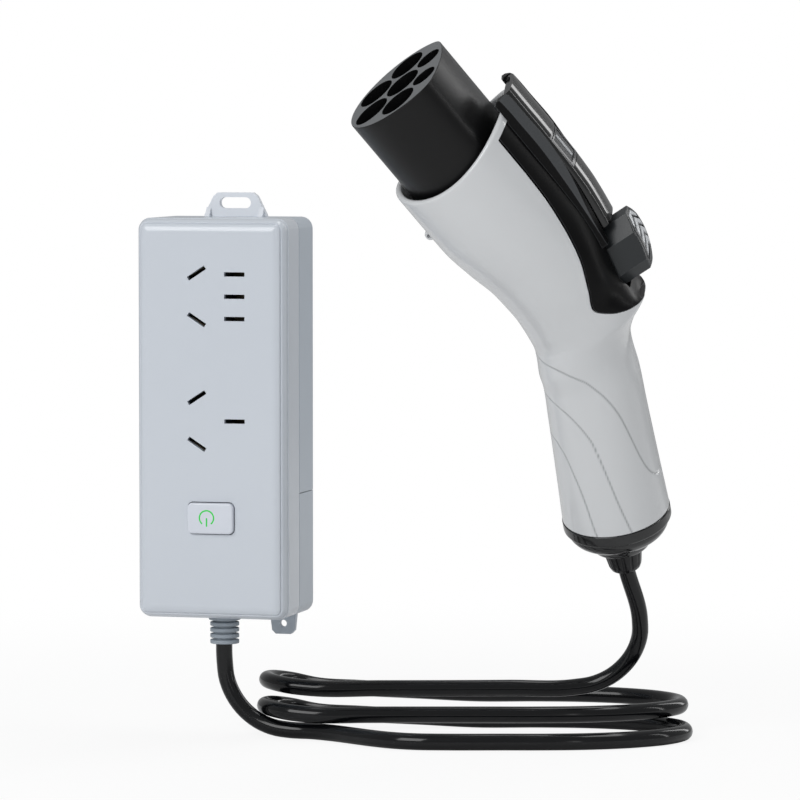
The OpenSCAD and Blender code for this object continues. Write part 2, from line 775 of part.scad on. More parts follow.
// Places of the contacts on the nose
power_places = [[0, 0], [contact_pitch, 0], [-contact_pitch, 0],
    [contact_pitch / 2, -contact_pitch * sin(60)], [-contact_pitch / 2, -contact_pitch * sin(60)]];
signal_places = [[contact_pitch / 2, signal_row], [-contact_pitch / 2, signal_row]];

module stepped_hole(place, mouth, middle, bore) {
    translate([place[0], place[1], -mouth_depth]) cylinder(r = mouth, h = mouth_depth + 1, $fn = round_fn);
    translate([place[0], place[1], -30]) cylinder(r = middle, h = 30, $fn = fine_fn);
    translate([place[0], place[1], -nose_l - 1]) cylinder(r = bore, h = nose_l, $fn = fine_fn);
}

module plug_nose() {
    color("#1b1c1e")
        in_gun()
            difference() {
                union() {
                    translate([0, 0, -nose_wall_l]) cylinder(r = nose_r, h = nose_wall_l, $fn = 96);
                    translate([0, 0, -nose_l]) cylinder(r = nose_r - 0.5, h = nose_l - nose_wall_l + 1, $fn = 96);
                    translate([0, 0, -nose_wall_l - 6.5])
                        cylinder(r = collar_r - gun_wall - seat_gap, h = 3, $fn = 96);
                }
                translate([-collar_r, nose_flat, -nose_l - 1]) cube([2 * collar_r, collar_r, nose_l + 2]);
                for (p = power_places) stepped_hole(p, power_mouth_r, 6, contact_r + 0.1);
                for (p = signal_places) stepped_hole(p, signal_mouth_r, 3.6, signal_r + 0.1);
            }
}

module nose_seal() {
    color("#0d0e0f")
        in_gun()
            difference() {
                translate([0, 0, -nose_wall_l - 3.3]) cylinder(r = collar_r - gun_wall - seat_gap, h = 3.1, $fn = 96);
                difference() {
                    translate([0, 0, -nose_wall_l - 5]) cylinder(r = nose_r + 0.15, h = 8, $fn = 96);
                    translate([-collar_r, nose_flat + 0.2, -nose_wall_l - 6]) cube([2 * collar_r, collar_r, 10]);
                }
                translate([-collar_r, floor_y - 3.8, -nose_wall_l - 6]) cube([2 * collar_r, collar_r, 10]);
            }
}

module sleeve(place, r, in_r, z0, z1) {
    translate([place[0], place[1], z0])
        difference() {
            cylinder(r = r, h = z1 - z0, $fn = fine_fn);
            translate([0, 0, 8]) cylinder(r = in_r, h = z1 - z0, $fn = fine_fn);
        }
}

module power_contacts() {
    color("#b9bcc0") in_gun() for (p = power_places) sleeve(p, contact_r, 3, -nose_l - 4, -mouth_depth - 1.5);
}

module signal_contacts() {
    color("#b9bcc0") in_gun() for (p = signal_places) sleeve(p, signal_r, 1.5, -nose_l - 4, -mouth_depth - 1.5);
}

module contact_plate() {
    color("#2b2d30")
        in_gun()
            difference() {
                translate([0, 0, -nose_l - 3.2]) cylinder(r = nose_r - 1, h = 3, $fn = round_fn);
                translate([-collar_r, nose_flat - 0.5, -nose_l - 5]) cube([2 * collar_r, collar_r, 6]);
                for (p = power_places)
                    translate([p[0], p[1], -nose_l - 5]) cylinder(r = contact_r + 0.1, h = 6, $fn = fine_fn);
                for (p = signal_places)
                    translate([p[0], p[1], -nose_l - 5]) cylinder(r = signal_r + 0.1, h = 6, $fn = fine_fn);
            }
}

// Depth of the hollow under the release button, section by section
saddle_sink = [0, 0, 0, 0, 1.6, 4.8, 5.6, 5, 4.2, 3];

// The black piece that closes the shell's opening, flush with the shell at its edge
module saddle() {
    steps = 12;
    used = [for (i = [2:11]) sections[i]];
    rings([for (k = [0:len(used) - 1])
        let (s = used[k], edge = s[6] - 1, back = k == 0 ? -0.3 : 0)
            [for (i = [0:steps])
                let (t = 1 - 2 * i / steps, p = on_section(s, edge * t, 0.1 + saddle_sink[k] * pow(1 - t * t, 2)))
                    [p[0], p[1], p[2] + back]]]);
}

// Places along a rail: foot, top of its outer wall and top of its inner wall
rail_places = [[-24.8, 31, 31.6, 34.4], [-26, 29.9, 31.8, 35.2], [-34.6, 29.9, 32.2, 35.5],
    [-34.8, 26, 32.2, 35.5], [-48, 26, 32.4, 35.8], [-69, 25, 31.2, 34], [-85, 23, 29.6, 31.4], [-101, 20, 27.9, 28.3]];

module rails() {
    inner = lever_half_w + rail_gap;
    for (side = [-1, 1])
        rings([for (p = rail_places)
            [[side * inner, p[1], p[0]], [side * (inner + rail_t), p[1] - 1.1, p[0]],
                [side * (inner + rail_t), p[2], p[0]], [side * (inner + 0.4), p[3], p[0]],
                [side * inner, p[3], p[0]]]], side < 0);
}

module button_outline(grow) {
    half = button_w / 2 + grow;
    end = button_l / 2 + grow;
    polygon([[-half, 5.6], [-half + 5.2, end], [half - 5.2, end], [half, 5.6],
        [half, -7.1], [half - 3.4, -end], [-half + 3.4, -end], [-half, -7.1]]);
}

// The button's upright: Y runs along it to the nose, Z out of the gun
module at_button() {
    translate([0, 0, button_z]) rotate([-90, 0, 0]) mirror([0, 1, 0]) children();
}

module latch_housing() {
    inner = lever_half_w + rail_gap;
    color("#17181a")
        in_gun()
            difference() {
                union() {
                    saddle();
                    rails();
                }
                // Channel for the lever
                translate([-inner, floor_y, -103]) cube([2 * inner, 20, 69]);
                // Wells for the button and for the lever's tail
                at_button() translate([0, 0, 15.4]) linear_extrude(30) button_outline(button_gap);
                translate([-7, 12.4, -124]) cube([14, 24, 32.6]);
                // Pivot holes in the rails
                translate([-pin_half - 0.2, pivot_y, pivot_z]) rotate([0, 90, 0])
                    cylinder(r = pin_r + 0.02, h = 2 * pin_half + 0.4, $fn = fine_fn);
            }
}

// The lever along its length: place, height of its back and depth of its sides
lever_places = [[-25.1, 36.9, 3.4], [-26, 36.95, 5], [-27.6, 37, 6], [-33, 37, 6], [-37, 37, 5], [-45, 37.1, 4.6],
    [-62, 36.9, 4.6], [-77, 36.2, 4.6], [-86, 35.1, 4.6], [-92, 34.1, 4.6], [-95.4, 33.5, 4.6]];

function lever_ring(z, top, depth) =
    let (w = lever_half_w,
        foot = top - depth,
        outside = [[-w, foot], [-w, top - 2.4], [-w + 0.5, top - 1.4], [-w + 1.6, top - 0.8], [-5, top - 0.3],
            [0, top], [5, top - 0.3], [w - 1.6, top - 0.8], [w - 0.5, top - 1.4], [w, top - 2.4], [w, foot]],
        across = 1 - lever_wall / w,
        down = 1 - lever_wall / depth)
        concat([for (p = outside) [p[0], p[1], z]],
            [for (i = [10:-1:0]) [outside[i][0] * across, foot + (outside[i][1] - foot) * down, z]]);

inset_z0 = -67.5;
inset_z1 = -51.5;

module latch_lever() {
    color("#101113")
        in_gun()
            difference() {
                union() {
                    rings([for (p = lever_places) lever_ring(p[0], p[1], p[2])], true, true);
                    // Hook behind the front edge
                    translate([0, 0, -28.6]) linear_extrude(2.4)
                        polygon([[-7.5, 35.8], [-7.5, 33.2], [-5.3, 31.6], [5.3, 31.6], [7.5, 33.2], [7.5, 35.8]]);
                    // Block for the pivot
                    translate([-lever_half_w + 0.6, pivot_y - 2.1, pivot_z - 3.4])
                        cube([2 * lever_half_w - 1.2, 36.8 - pivot_y, 6.8]);
                    // Tail under the button
                    translate([6, 0, 0]) rotate([0, -90, 0]) linear_extrude(12)
                        polygon([[-91.2, 33.4], [-91.2, 31], [-92.6, 29.5], [-92.6, 17.2], [-119.5, 17.2],
                            [-119.5, 19.8], [-95.2, 19.8], [-95.2, 32.8]]);
                }
                translate([-20, pivot_y, pivot_z]) rotate([0, 90, 0])
                    cylinder(r = pin_r + pin_clear, h = 40, $fn = fine_fn);
                translate([-7.4, 35.7, inset_z0]) cube([14.8, 4, inset_z1 - inset_z0]);
            }
}

module lever_inset() {
    color("#26282b")
        in_gun()
            translate([0, 0, inset_z0 + 0.15]) linear_extrude(inset_z1 - inset_z0 - 0.3)
                polygon([[-7.2, 35.75], [7.2, 35.75], [7.2, 36], [0, 36.55], [-7.2, 36]]);
}

// The release button: a six-sided block with a domed, sloping face and sunk chevrons
module release_button() {
    color("#1c1e20")
        in_gun()
            at_button()
                difference() {
                    intersection() {
                        translate([0, 0, button_foot_y]) linear_extrude(40) button_outline(0);
                        translate([0, 0, button_face_y]) rotate([button_lean, 0, 0])
                            translate([0, 0, -button_dome_r]) sphere(r = button_dome_r, $fn = 96);
                    }
                    translate([0, 0, button_face_y]) rotate([button_lean, 0, 0])
                        for (y = [-9.4, -5, -0.6, 3.8])
                            translate([0, y, -1.5]) linear_extrude(6)
                                polygon([[-5.6, 0], [0, 4], [5.6, 0], [5.6, 1.6], [0, 5.6], [-5.6, 1.6]]);
                }
}

module latch_pin() {
    color("#b9bcc0")
        in_gun()
            translate([-pin_half, pivot_y, pivot_z]) rotate([0, 90, 0])
                cylinder(r = pin_r, h = 2 * pin_half, $fn = fine_fn);
}

// A compression spring between the channel's floor and the lever, drawn as its outer body
module latch_spring() {
    color("#b9bcc0")
        in_gun()
            translate([0, floor_y + 0.1, -87.4]) rotate([-90, 0, 0])
                difference() {
                    cylinder(r = 2.8, h = 6.1, $fn = fine_fn);
                    translate([0, 0, -1]) cylinder(r = 2.1, h = 9, $fn = fine_fn);
                }
}

module end_ring() {
    color("#141516")
        in_gun()
            at_handle_end()
                rotate_extrude($fn = 96)
                    polygon([[6.5, 0.1], [handle_end_r, 0.1], [handle_end_r + 0.2, 0.5],
                        [handle_end_r + 0.2, end_ring_l - 0.7], [handle_end_r - 0.3, end_ring_l],
                        [6.5, end_ring_l]]);
}

module end_cup() {
    r = handle_end_r;
    foot = end_ring_l + end_cup_l;
    color("#191a1b")
        in_gun()
            at_handle_end()
                difference() {
                    rotate_extrude($fn = 96)
                        polygon([[5, end_ring_l + 0.1], [r - 1.1, end_ring_l + 0.1], [r - 1.6, end_ring_l + 2.6],
                            [r - 3.1, end_ring_l + 4.8], [r - 5.6, end_ring_l + 6.8], [r - 8.4, end_ring_l + 8.2],
                            [r - 9.2, end_ring_l + 8.4], [r - 10, end_ring_l + 10.2], [gland_r + 3.6, foot - 0.5],
                            [gland_r + 3, foot], [5, foot]]);
                    // Screw recess in the cup's side
                    translate([4, 15.6, end_ring_l + 5]) rotate([0, 0, 0]) cylinder(r = 1.7, h = 10, $fn = fine_fn);
                }
}

module cord_grip() {
    color("#2b2d30")
        in_gun()
            at_handle_end()
                difference() {
                    translate([0, 0, -5]) cylinder(r = handle_end_r - gun_wall - 0.5, h = 4.9, $fn = round_fn);
                    translate([0, 0, -6]) cylinder(r = cable_bore_r, h = 7, $fn = round_fn);
                }
}

module cable_gland() {
    foot = end_ring_l + end_cup_l;
    color("#151617")
        in_gun()
            at_handle_end()
                difference() {
                    union() {
                        translate([0, 0, 0.4]) cylinder(r = 4.9, h = foot, $fn = round_fn);
                        rotate_extrude($fn = round_fn)
                            polygon([[3, foot + 0.1], [gland_r, foot + 0.1], [gland_r, foot + 1.2],
                                [gland_r - 1.3, foot + gland_l - 2.4], [gland_r - 2, foot + gland_l - 0.8],
                                [gland_r - 3, foot + gland_l], [3, foot + gland_l]]);
                    }
                    translate([0, 0, -1]) cylinder(r = cable_bore_r, h = foot + gland_l + 2, $fn = round_fn);
                    for (i = [0:11])
                        rotate([0, 0, 30 * i]) translate([gland_r + 0.5, 0, foot + 2]) rotate([0, -9, 0])
                            cylinder(r = 1, h = gland_l, $fn = 16);
                }
}

front_cover();
rear_shell();
rear_lower_cover();
cover_screws();
outlet_block_upper();
outlet_block_lower();
live_strip();
neutral_strip();
earth_strip();
circuit_board();
key_switch();
power_key();
power_sign();
grommet();
cable_clamp();
cable();
gun_shell_right();
gun_shell_left();
shell_screws();
plug_nose();
nose_seal();
power_contacts();
signal_contacts();
contact_plate();
latch_housing();
latch_lever();
lever_inset();
release_button();
latch_pin();
latch_spring();
end_ring();
end_cup();
cord_grip();
cable_gland();
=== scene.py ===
"""Looks of a vehicle-to-load adapter: a socket box, its cable and the charging gun.

Sizes are in millimetres, as in the part's source, and become metres where a mesh is made.
X runs to the right of the box, Y to its back and Z up; the origin is the middle of the hanging
slot. The gun has a frame of its own, with Z out of the nose and Y towards the latch.
"""

import logging
import math
from collections.abc import Callable, Sequence
from dataclasses import dataclass, field
from enum import Enum

import bmesh
import bpy
import numpy as np
from mathutils import Matrix, Vector


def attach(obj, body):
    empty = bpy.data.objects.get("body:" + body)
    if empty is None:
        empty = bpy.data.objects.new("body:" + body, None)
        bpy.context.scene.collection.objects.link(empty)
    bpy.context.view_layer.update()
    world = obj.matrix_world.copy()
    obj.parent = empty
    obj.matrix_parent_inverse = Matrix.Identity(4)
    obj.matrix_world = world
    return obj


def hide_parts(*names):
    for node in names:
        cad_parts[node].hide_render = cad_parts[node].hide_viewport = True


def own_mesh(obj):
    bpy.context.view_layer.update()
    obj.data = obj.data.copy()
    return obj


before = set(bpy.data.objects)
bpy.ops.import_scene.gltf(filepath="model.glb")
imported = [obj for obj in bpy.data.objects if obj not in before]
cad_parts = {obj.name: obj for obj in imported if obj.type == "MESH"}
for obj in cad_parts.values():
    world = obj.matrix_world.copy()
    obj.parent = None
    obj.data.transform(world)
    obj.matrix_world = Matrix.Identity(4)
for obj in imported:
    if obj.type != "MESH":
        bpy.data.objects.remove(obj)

LOG = logging.getLogger("adapter")
MM = 0.001
ROOT = "adapter"
# Edges of a softened piece that turn by more than this many degrees stay crisp.
ROUNDED_SHARP = 50
# The same for a copy of a CAD node, where smaller turns are shaded smooth.
COPY_SHARP = 35
# The same for what is repeated, such as the screws.
REPEAT_SHARP = 40
# Corners of a CAD node that lie this close, in metres, are one.
CORNER_REACH = 2e-6
# Faces of a CAD node that turn by less than this many degrees are one.
FLAT_ANGLE = 0.6
# Radius at which a turned solid is closed near its axis, in millimetres.
AXIS = 0.001
# More than any gap that is measured, in millimetres.
FAR = 99.0
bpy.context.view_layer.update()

Array = np.ndarray
Point = Sequence[float]
Thing = bpy.types.Object


# Numbers


def linear(byte: float) -> float:
    """Light value of a screen byte from 0 to 255."""
    share = byte / 255
    return share / 12.92 if share <= 0.04045 else ((share + 0.055) / 1.055) ** 2.4


def colour(red: float, green: float, blue: float) -> tuple[float, float, float, float]:
    """Shader colour of three screen bytes."""
    return (linear(red), linear(green), linear(blue), 1.0)


def bent(value: Array, power: Array | float) -> Array:
    """Value raised to a power, with its sign kept."""
    return np.sign(value) * np.abs(value) ** power


def smooth_step(value: Array, low: float, high: float) -> Array:
    """Rises smoothly from 0 at low to 1 at high."""
    share = np.clip((value - low) / (high - low), 0, 1)
    return share * share * (3 - 2 * share)


def blended(places: Array, values: Array, rate: Array, at: Array) -> Array:
    """Values on the cubic curve that has the given values and rates.

    Args:
        places: where they are given, rising.
        values: one row of values for each place.
        rate: how fast each value changes there.
        at: where the curve is read.

    Returns:
        One row of values for each place in at.
    """
    step = np.diff(places)
    k = np.clip(np.searchsorted(places, at, side="right") - 1, 0, len(step) - 1)
    t = ((at - places[k]) / step[k])[:, None]
    size = step[k][:, None]
    return (
        (1 + 2 * t) * (1 - t) ** 2 * values[k]
        + t * (1 - t) ** 2 * size * rate[k]
        + t * t * (3 - 2 * t) * values[k + 1]
        + t * t * (t - 1) * size * rate[k + 1]
    )


def between(value: Array, low: float, high: float, soft: float) -> Array:
    """1 between low and high and 0 outside, with soft sides that wide."""
    return smooth_step(value, low, low + soft) * (1 - smooth_step(value, high, high + soft))


def through(places: Array, values: Array, at: Array) -> Array:
    """Values on a smooth curve that keeps to the given ones without overshoot.

    Args:
        places: where the values are given, rising.
        values: one row of values for each place.
        at: where the curve is read.

    Returns:
        One row of values for each place in at.
    """
    step = np.diff(places)
    slope = np.diff(values, axis=0) / step[:, None]
    left, right = slope[:-1], slope[1:]
    one, two = step[:-1, None], step[1:, None]
    with np.errstate(divide="ignore", invalid="ignore"):
        mean = 3 * (one + two) / ((2 * two + one) / left + (two + 2 * one) / right)
    inner = np.where(left * right > 0, np.nan_to_num(mean), 0)
    return blended(places, values, np.vstack([slope[:1], inner, slope[-1:]]), at)


def spread(low: float, high: float, pitch: float) -> Array:
    """Even places from low to high, about pitch apart."""
    return np.linspace(low, high, max(2, round(abs(high - low) / pitch) + 1))


def travelled(points: Array) -> Array:
    """How far along a row of points each of them is."""
    return np.concatenate([[0], np.cumsum(np.linalg.norm(np.diff(points, axis=0), axis=1))])


def turn_round(count: int) -> Array:
    """Even angles once round, in radians, without the last."""
    return np.linspace(0, 2 * math.pi, count, endpoint=False)


# Meshes


@dataclass
class Skin:
    """Points and faces of one piece, gathered from closed forms."""

    points: list[Array] = field(default_factory=list)
    faces: list[list[int]] = field(default_factory=list)
    mats: list[int] = field(default_factory=list)
    marks: list[Array] = field(default_factory=list)
    count: int = 0

    def add(self, points: Array, faces: list[list[int]], mat: int = 0, mark: Array | None = None) -> None:
        """Adds one form.

        Args:
            points: its points, one row each.
            faces: its faces, as places in points.
            mat: which of the piece's finishes it takes.
            mark: a value for each point, which a finish may read.
        """
        self.points.append(points)
        self.faces += [[i + self.count for i in f] for f in faces]
        self.mats += [mat] * len(faces)
        self.marks.append(np.zeros(len(points)) if mark is None else mark)
        self.count += len(points)

    def cover(self, faces: list[list[int]]) -> None:
        """Adds faces between points that are there already."""
        self.faces += faces
        self.mats += [0] * len(faces)

    def loft(self, rings: Array, flip: bool = False, caps: str = "flat", mat: int = 0,
             mark: Array | None = None) -> None:
        """Adds a closed skin over rings of points.

        Args:
            rings: rings, points and coordinates.
            flip: turns the faces round.
            caps: flat closes each end with one face, none leaves both open, and round joins
                the last ring to the first.
            mat: which of the piece's finishes it takes.
            mark: a value for each point.
        """
        rows, count = rings.shape[:2]
        faces = []
        for row in range(rows if caps == "round" else rows - 1):
            here, there = row * count, (row + 1) % rows * count
            for i in range(count):
                j = (i + 1) % count
                faces.append([here + i, here + j, there + j, there + i])
        if caps == "flat":
            faces.append(list(range(count))[::-1])
            faces.append([(rows - 1) * count + i for i in range(count)])
        if flip:
            faces = [f[::-1] for f in faces]
        self.add(rings.reshape(-1, 3), faces, mat, None if mark is None else mark.reshape(-1))

    def piece(self, name: str, finishes: Sequence["Finish"], sharp: float = 38) -> Thing:
        """Makes the gathered forms one object at the origin.

        Args:
            name: the piece's name.
            finishes: its finishes, in the order that mat counts.
            sharp: edges that turn by more than this many degrees stay crisp.

        Returns:
            The new object.
        """
        mesh = bpy.data.meshes.new(name)
        mesh.from_pydata((np.vstack(self.points) * MM).tolist(), [], self.faces)
        marks = np.concatenate(self.marks)
        if marks.any():
            mesh.attributes.new("mark", "FLOAT", "POINT").data.foreach_set("value", marks.astype(np.float32))
        mesh.polygons.foreach_set("material_index", self.mats)
        return finished(name, mesh, finishes, sharp)


def shown(name: str, data: bpy.types.ID) -> Thing:
    """Puts a mesh, a lamp or a camera in the scene as an object.

    Args:
        name: the object's name.
        data: what the object shows.

    Returns:
        The new object, at the origin.
    """
    thing = bpy.data.objects.new(name, data)
    bpy.context.scene.collection.objects.link(thing)
    return thing


def face_outwards(mesh: bpy.types.Mesh) -> None:
    """Turns all faces of a closed mesh outwards.

    Args:
        mesh: the mesh.
    """
    form = bmesh.new()
    form.from_mesh(mesh)
    bmesh.ops.recalc_face_normals(form, faces=form.faces)
    form.to_mesh(mesh)
    form.free()


def shade(mesh: bpy.types.Mesh, sharp: float) -> None:
    """Shades a mesh smooth, apart from edges that turn by more than sharp degrees."""
    mesh.shade_smooth()
    mesh.set_sharp_from_angle(angle=math.radians(sharp))


def finished(name: str, mesh: bpy.types.Mesh, finishes: Sequence["Finish"], sharp: float) -> Thing:
    """Puts a mesh in the scene with outward faces, smooth shading and its finishes.

    Args:
        name: the piece's name.
        mesh: its mesh.
        finishes: its finishes, in the order of the faces' numbers.
        sharp: edges that turn by more than this many degrees stay crisp.

    Returns:
        The new object.
    """
    face_outwards(mesh)
    shade(mesh, sharp)
    for finish in finishes:
        mesh.materials.append(finish.material())
    return shown(name, mesh)


def settle(thing: Thing) -> Thing:
    """Turns an object's modifiers into plain mesh and takes them off.

    Args:
        thing: the object.

    Returns:
        The same object.
    """
    bpy.context.view_layer.update()
    graph = bpy.context.evaluated_depsgraph_get()
    mesh = bpy.data.meshes.new_from_object(thing.evaluated_get(graph), depsgraph=graph)
    old = thing.data
    thing.modifiers.clear()
    thing.data = mesh
    mesh.name = thing.name
    bpy.data.meshes.remove(old)
    return thing


def soften(thing: Thing, width: float, angle: float = 35, segments: int = 2) -> Thing:
    """Rounds a piece's sharp edges.

    Args:
        thing: the piece.
        width: width of the rounding, in millimetres.
        angle: edges that turn by less than this many degrees stay.
        segments: faces across the rounding.

    Returns:
        The same object.
    """
    bevel = thing.modifiers.new("soft_edges", "BEVEL")
    bevel.width = width * MM
    bevel.segments = segments
    bevel.limit_method = "ANGLE"
    bevel.angle_limit = math.radians(angle)
    bevel.use_clamp_overlap = True
    bevel.harden_normals = False
    return evened(settle(thing))


def evened(thing: Thing) -> Thing:
    """Shades a piece by its large faces, so that the narrow ones round its edges blend in.

    Args:
        thing: the piece.

    Returns:
        The same object.
    """
    shade(thing.data, ROUNDED_SHARP)
    weighted = thing.modifiers.new("even_shading", "WEIGHTED_NORMAL")
    weighted.keep_sharp = True
    return settle(thing)


def joined(thing: Thing, other: Thing) -> Thing:
    """Takes a second form into a piece.

    Args:
        thing: the piece.
        other: the second form, which is deleted.

    Returns:
        The piece, shaded anew.
    """
    form = bmesh.new()
    form.from_mesh(thing.data)
    form.from_mesh(other.data)
    form.to_mesh(thing.data)
    form.free()
    bpy.data.objects.remove(other)
    return evened(thing)


def carve(thing: Thing, cutters: Sequence[Thing]) -> Thing:
    """Cuts solids out of a piece and deletes them.

    Args:
        thing: the piece.
        cutters: the solids.

    Returns:
        The same piece.
    """
    for cutter in cutters:
        cut = thing.modifiers.new("cut", "BOOLEAN")
        cut.operation = "DIFFERENCE"
        cut.solver = "EXACT"
        cut.object = cutter
    settle(thing)
    for cutter in cutters:
        bpy.data.objects.remove(cutter)
    return thing


def dressed_copy(node: str, finishes: Sequence["Finish"], edge: float) -> Thing:
    """A smooth copy of a CAD node, with merged corners and rounded edges.

    Args:
        node: the CAD node.
        finishes: the copy's finishes.
        edge: width of the rounding on its edges, in millimetres.

    Returns:
        The new object.
    """
    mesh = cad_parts[node].data.copy()
    mesh.materials.clear()
    form = bmesh.new()
    form.from_mesh(mesh)
    bmesh.ops.remove_doubles(form, verts=form.verts, dist=CORNER_REACH)
    bmesh.ops.dissolve_limit(form, angle_limit=math.radians(FLAT_ANGLE), use_dissolve_boundaries=False,
                             verts=form.verts, edges=form.edges)
    form.to_mesh(mesh)
    form.free()
    mesh.polygons.foreach_set("material_index", [0] * len(mesh.polygons))
    return soften(finished(node + "_moulded", mesh, finishes, COPY_SHARP), edge, COPY_SHARP)


def block(points: Array, faces: list[list[int]]) -> Thing:
    """A bare solid, for cutting or to be repeated.

    Args:
        points: its points, in millimetres.
        faces: its faces, as places in points.

    Returns:
        The solid.
    """
    mesh = bpy.data.meshes.new("bare_solid")
    mesh.from_pydata((points * MM).tolist(), [], faces)
    face_outwards(mesh)
    return shown("bare_solid", mesh)


def prism(outline: Array, low: Array, high: Array) -> Thing:
    """A cutting solid between two copies of an outline.

    Args:
        outline: points with three coordinates.
        low: shift of the first copy.
        high: shift of the second copy.

    Returns:
        The solid.
    """
    count = len(outline)
    points = np.vstack([outline + low, outline + high])
    faces = [list(range(count)), [count + i for i in range(count)][::-1]]
    faces += [[i, (i + 1) % count, count + (i + 1) % count, count + i] for i in range(count)]
    return block(points, faces)


def rectangle(half: float, low: float, high: float) -> Array:
    """Corners of an upright rectangle at no depth.

    Args:
        half: half its width.
        low: height of its foot.
        high: height of its top.

    Returns:
        Four points.
    """
    return np.array([(-half, 0, low), (half, 0, low), (half, 0, high), (-half, 0, high)], float)


def rounded(width: float, height: float, radius: float, steps: int = 8) -> Array:
    """Points of a rectangle with round corners, middle at zero.

    Args:
        width: its whole width.
        height: its whole height.
        radius: radius of its corners.
        steps: points round each corner, less one.

    Returns:
        One row of two coordinates for each point.
    """
    points = []
    for quarter in range(4):
        side_x = 1 if quarter in (0, 3) else -1
        side_y = 1 if quarter < 2 else -1
        for i in range(steps + 1):
            angle = math.radians(90 * (quarter + i / steps))
            points.append((side_x * (width / 2 - radius) + radius * math.cos(angle),
                           side_y * (height / 2 - radius) + radius * math.sin(angle)))
    return np.array(points)


def revolved(profile: Sequence[Point], steps: int) -> Array:
    """Rings of a profile turned about Z.

    Args:
        profile: pairs of radius and height.
        steps: points round each ring.

    Returns:
        Rings, points and coordinates.
    """
    angles = turn_round(steps)
    outline = np.array(profile, float)
    return np.stack([outline[:, :1] * np.cos(angles), outline[:, :1] * np.sin(angles),
                     np.repeat(outline[:, 1:2], steps, 1)], -1)


def turned_block(profile: Sequence[Point], steps: int,
                 place: Callable[[Array], Array] = np.asarray) -> Thing:
    """A bare solid turned about Z.

    Args:
        profile: pairs of radius and height, from near the axis out and back.
        steps: points round it.
        place: moves its points to where it belongs.

    Returns:
        The solid.
    """
    form = Skin()
    form.loft(place(revolved(profile, steps)))
    return block(np.vstack(form.points), form.faces)


def eased(profile: Sequence[Point], cut: float, steps: int = 3) -> list[Point]:
    """A closed profile with its corners rounded off.

    Args:
        profile: the corners.
        cut: how far from a corner its rounding starts.
        steps: points across each rounding.

    Returns:
        The points of the new profile.
    """
    corners = np.array(profile, float)
    result = []
    for before, here, after in zip(np.roll(corners, 1, 0), corners, np.roll(corners, -1, 0)):
        reach = min(cut, 0.45 * np.linalg.norm(before - here), 0.45 * np.linalg.norm(after - here))
        start = here + (before - here) / np.linalg.norm(before - here) * reach
        end = here + (after - here) / np.linalg.norm(after - here) * reach
        for i in range(steps + 1):
            t = i / steps
            result.append(tuple((1 - t) ** 2 * start + 2 * t * (1 - t) * here + t * t * end))
    return result


def fit(thing: Thing, node: str, body: str) -> None:
    """Gives a finished piece its place in the frame.

    Args:
        thing: the piece.
        node: the CAD node that it stands for.
        body: the body that it moves with.
    """
    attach(thing, body)
    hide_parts(node)
    LOG.info("%s on %s", thing.name, body)


# Shader groups and finishes


class Wiring:
    """Adds and joins nodes of one tree."""

    def __init__(self, tree: bpy.types.NodeTree) -> None:
        """Keeps the tree that the nodes go in."""
        self.tree = tree

    def node(self, kind: str, values: dict[str, object] | None = None, **settings: object) -> bpy.types.Node:
        """Adds a node.

        Args:
            kind: Blender's name of the node's type.
            values: input names with a value, or with the socket that feeds them.
            settings: properties of the node.

        Returns:
            The new node.
        """
        made = self.tree.nodes.new(kind)
        for key, value in settings.items():
            setattr(made, key, value)
        for key, value in (values or {}).items():
            spot = made.inputs[int(key)] if key.isdigit() else made.inputs[key]
            if isinstance(value, bpy.types.NodeSocket):
                self.tree.links.new(value, spot)
            else:
                spot.default_value = value
        return made

    def maths(self, operation: str, *values: object, clamp: bool = False) -> bpy.types.NodeSocket:
        """Adds a Math node and returns its result."""
        inputs = {str(i): value for i, value in enumerate(values)}
        return self.node("ShaderNodeMath", inputs, operation=operation, use_clamp=clamp).outputs[0]

    def noise(self, scale: float | bpy.types.NodeSocket, detail: float) -> bpy.types.NodeSocket:
        """Adds a noise that stays with the piece, and returns its value.

        Args:
            scale: how fine the noise is, in ripples to the metre.
            detail: how many finer layers it has.

        Returns:
            The noise, from 0 to 1.
        """
        place = self.node("ShaderNodeTexCoord").outputs["Object"]
        made = self.node("ShaderNodeTexNoise", {"Vector": place, "Scale": scale, "Detail": detail})
        return made.outputs["Fac"]

    def mixed(self, share: object, first: object, second: object) -> bpy.types.NodeSocket:
        """Mixes two colours and returns the result."""
        return self.node("ShaderNodeMix", {"0": share, "6": first, "7": second}, data_type="RGBA").outputs[2]


def shader_group(name: str, inputs: dict[str, tuple[str, object]], outputs: dict[str, str]) -> tuple[
        bpy.types.NodeTree, Wiring, bpy.types.Node, bpy.types.Node]:
    """Starts a shader node group.

    Args:
        name: the group's name.
        inputs: input names with a socket type and a default.
        outputs: output names with a socket type.

    Returns:
        The tree, its wiring, and the nodes that hold its inputs and its outputs.
    """
    tree = bpy.data.node_groups.new(name, "ShaderNodeTree")
    for key, (kind, default) in inputs.items():
        tree.interface.new_socket(key, in_out="INPUT", socket_type=kind).default_value = default
    for key, kind in outputs.items():
        tree.interface.new_socket(key, in_out="OUTPUT", socket_type=kind)
    wiring = Wiring(tree)
    return tree, wiring, wiring.node("NodeGroupInput"), wiring.node("NodeGroupOutput")


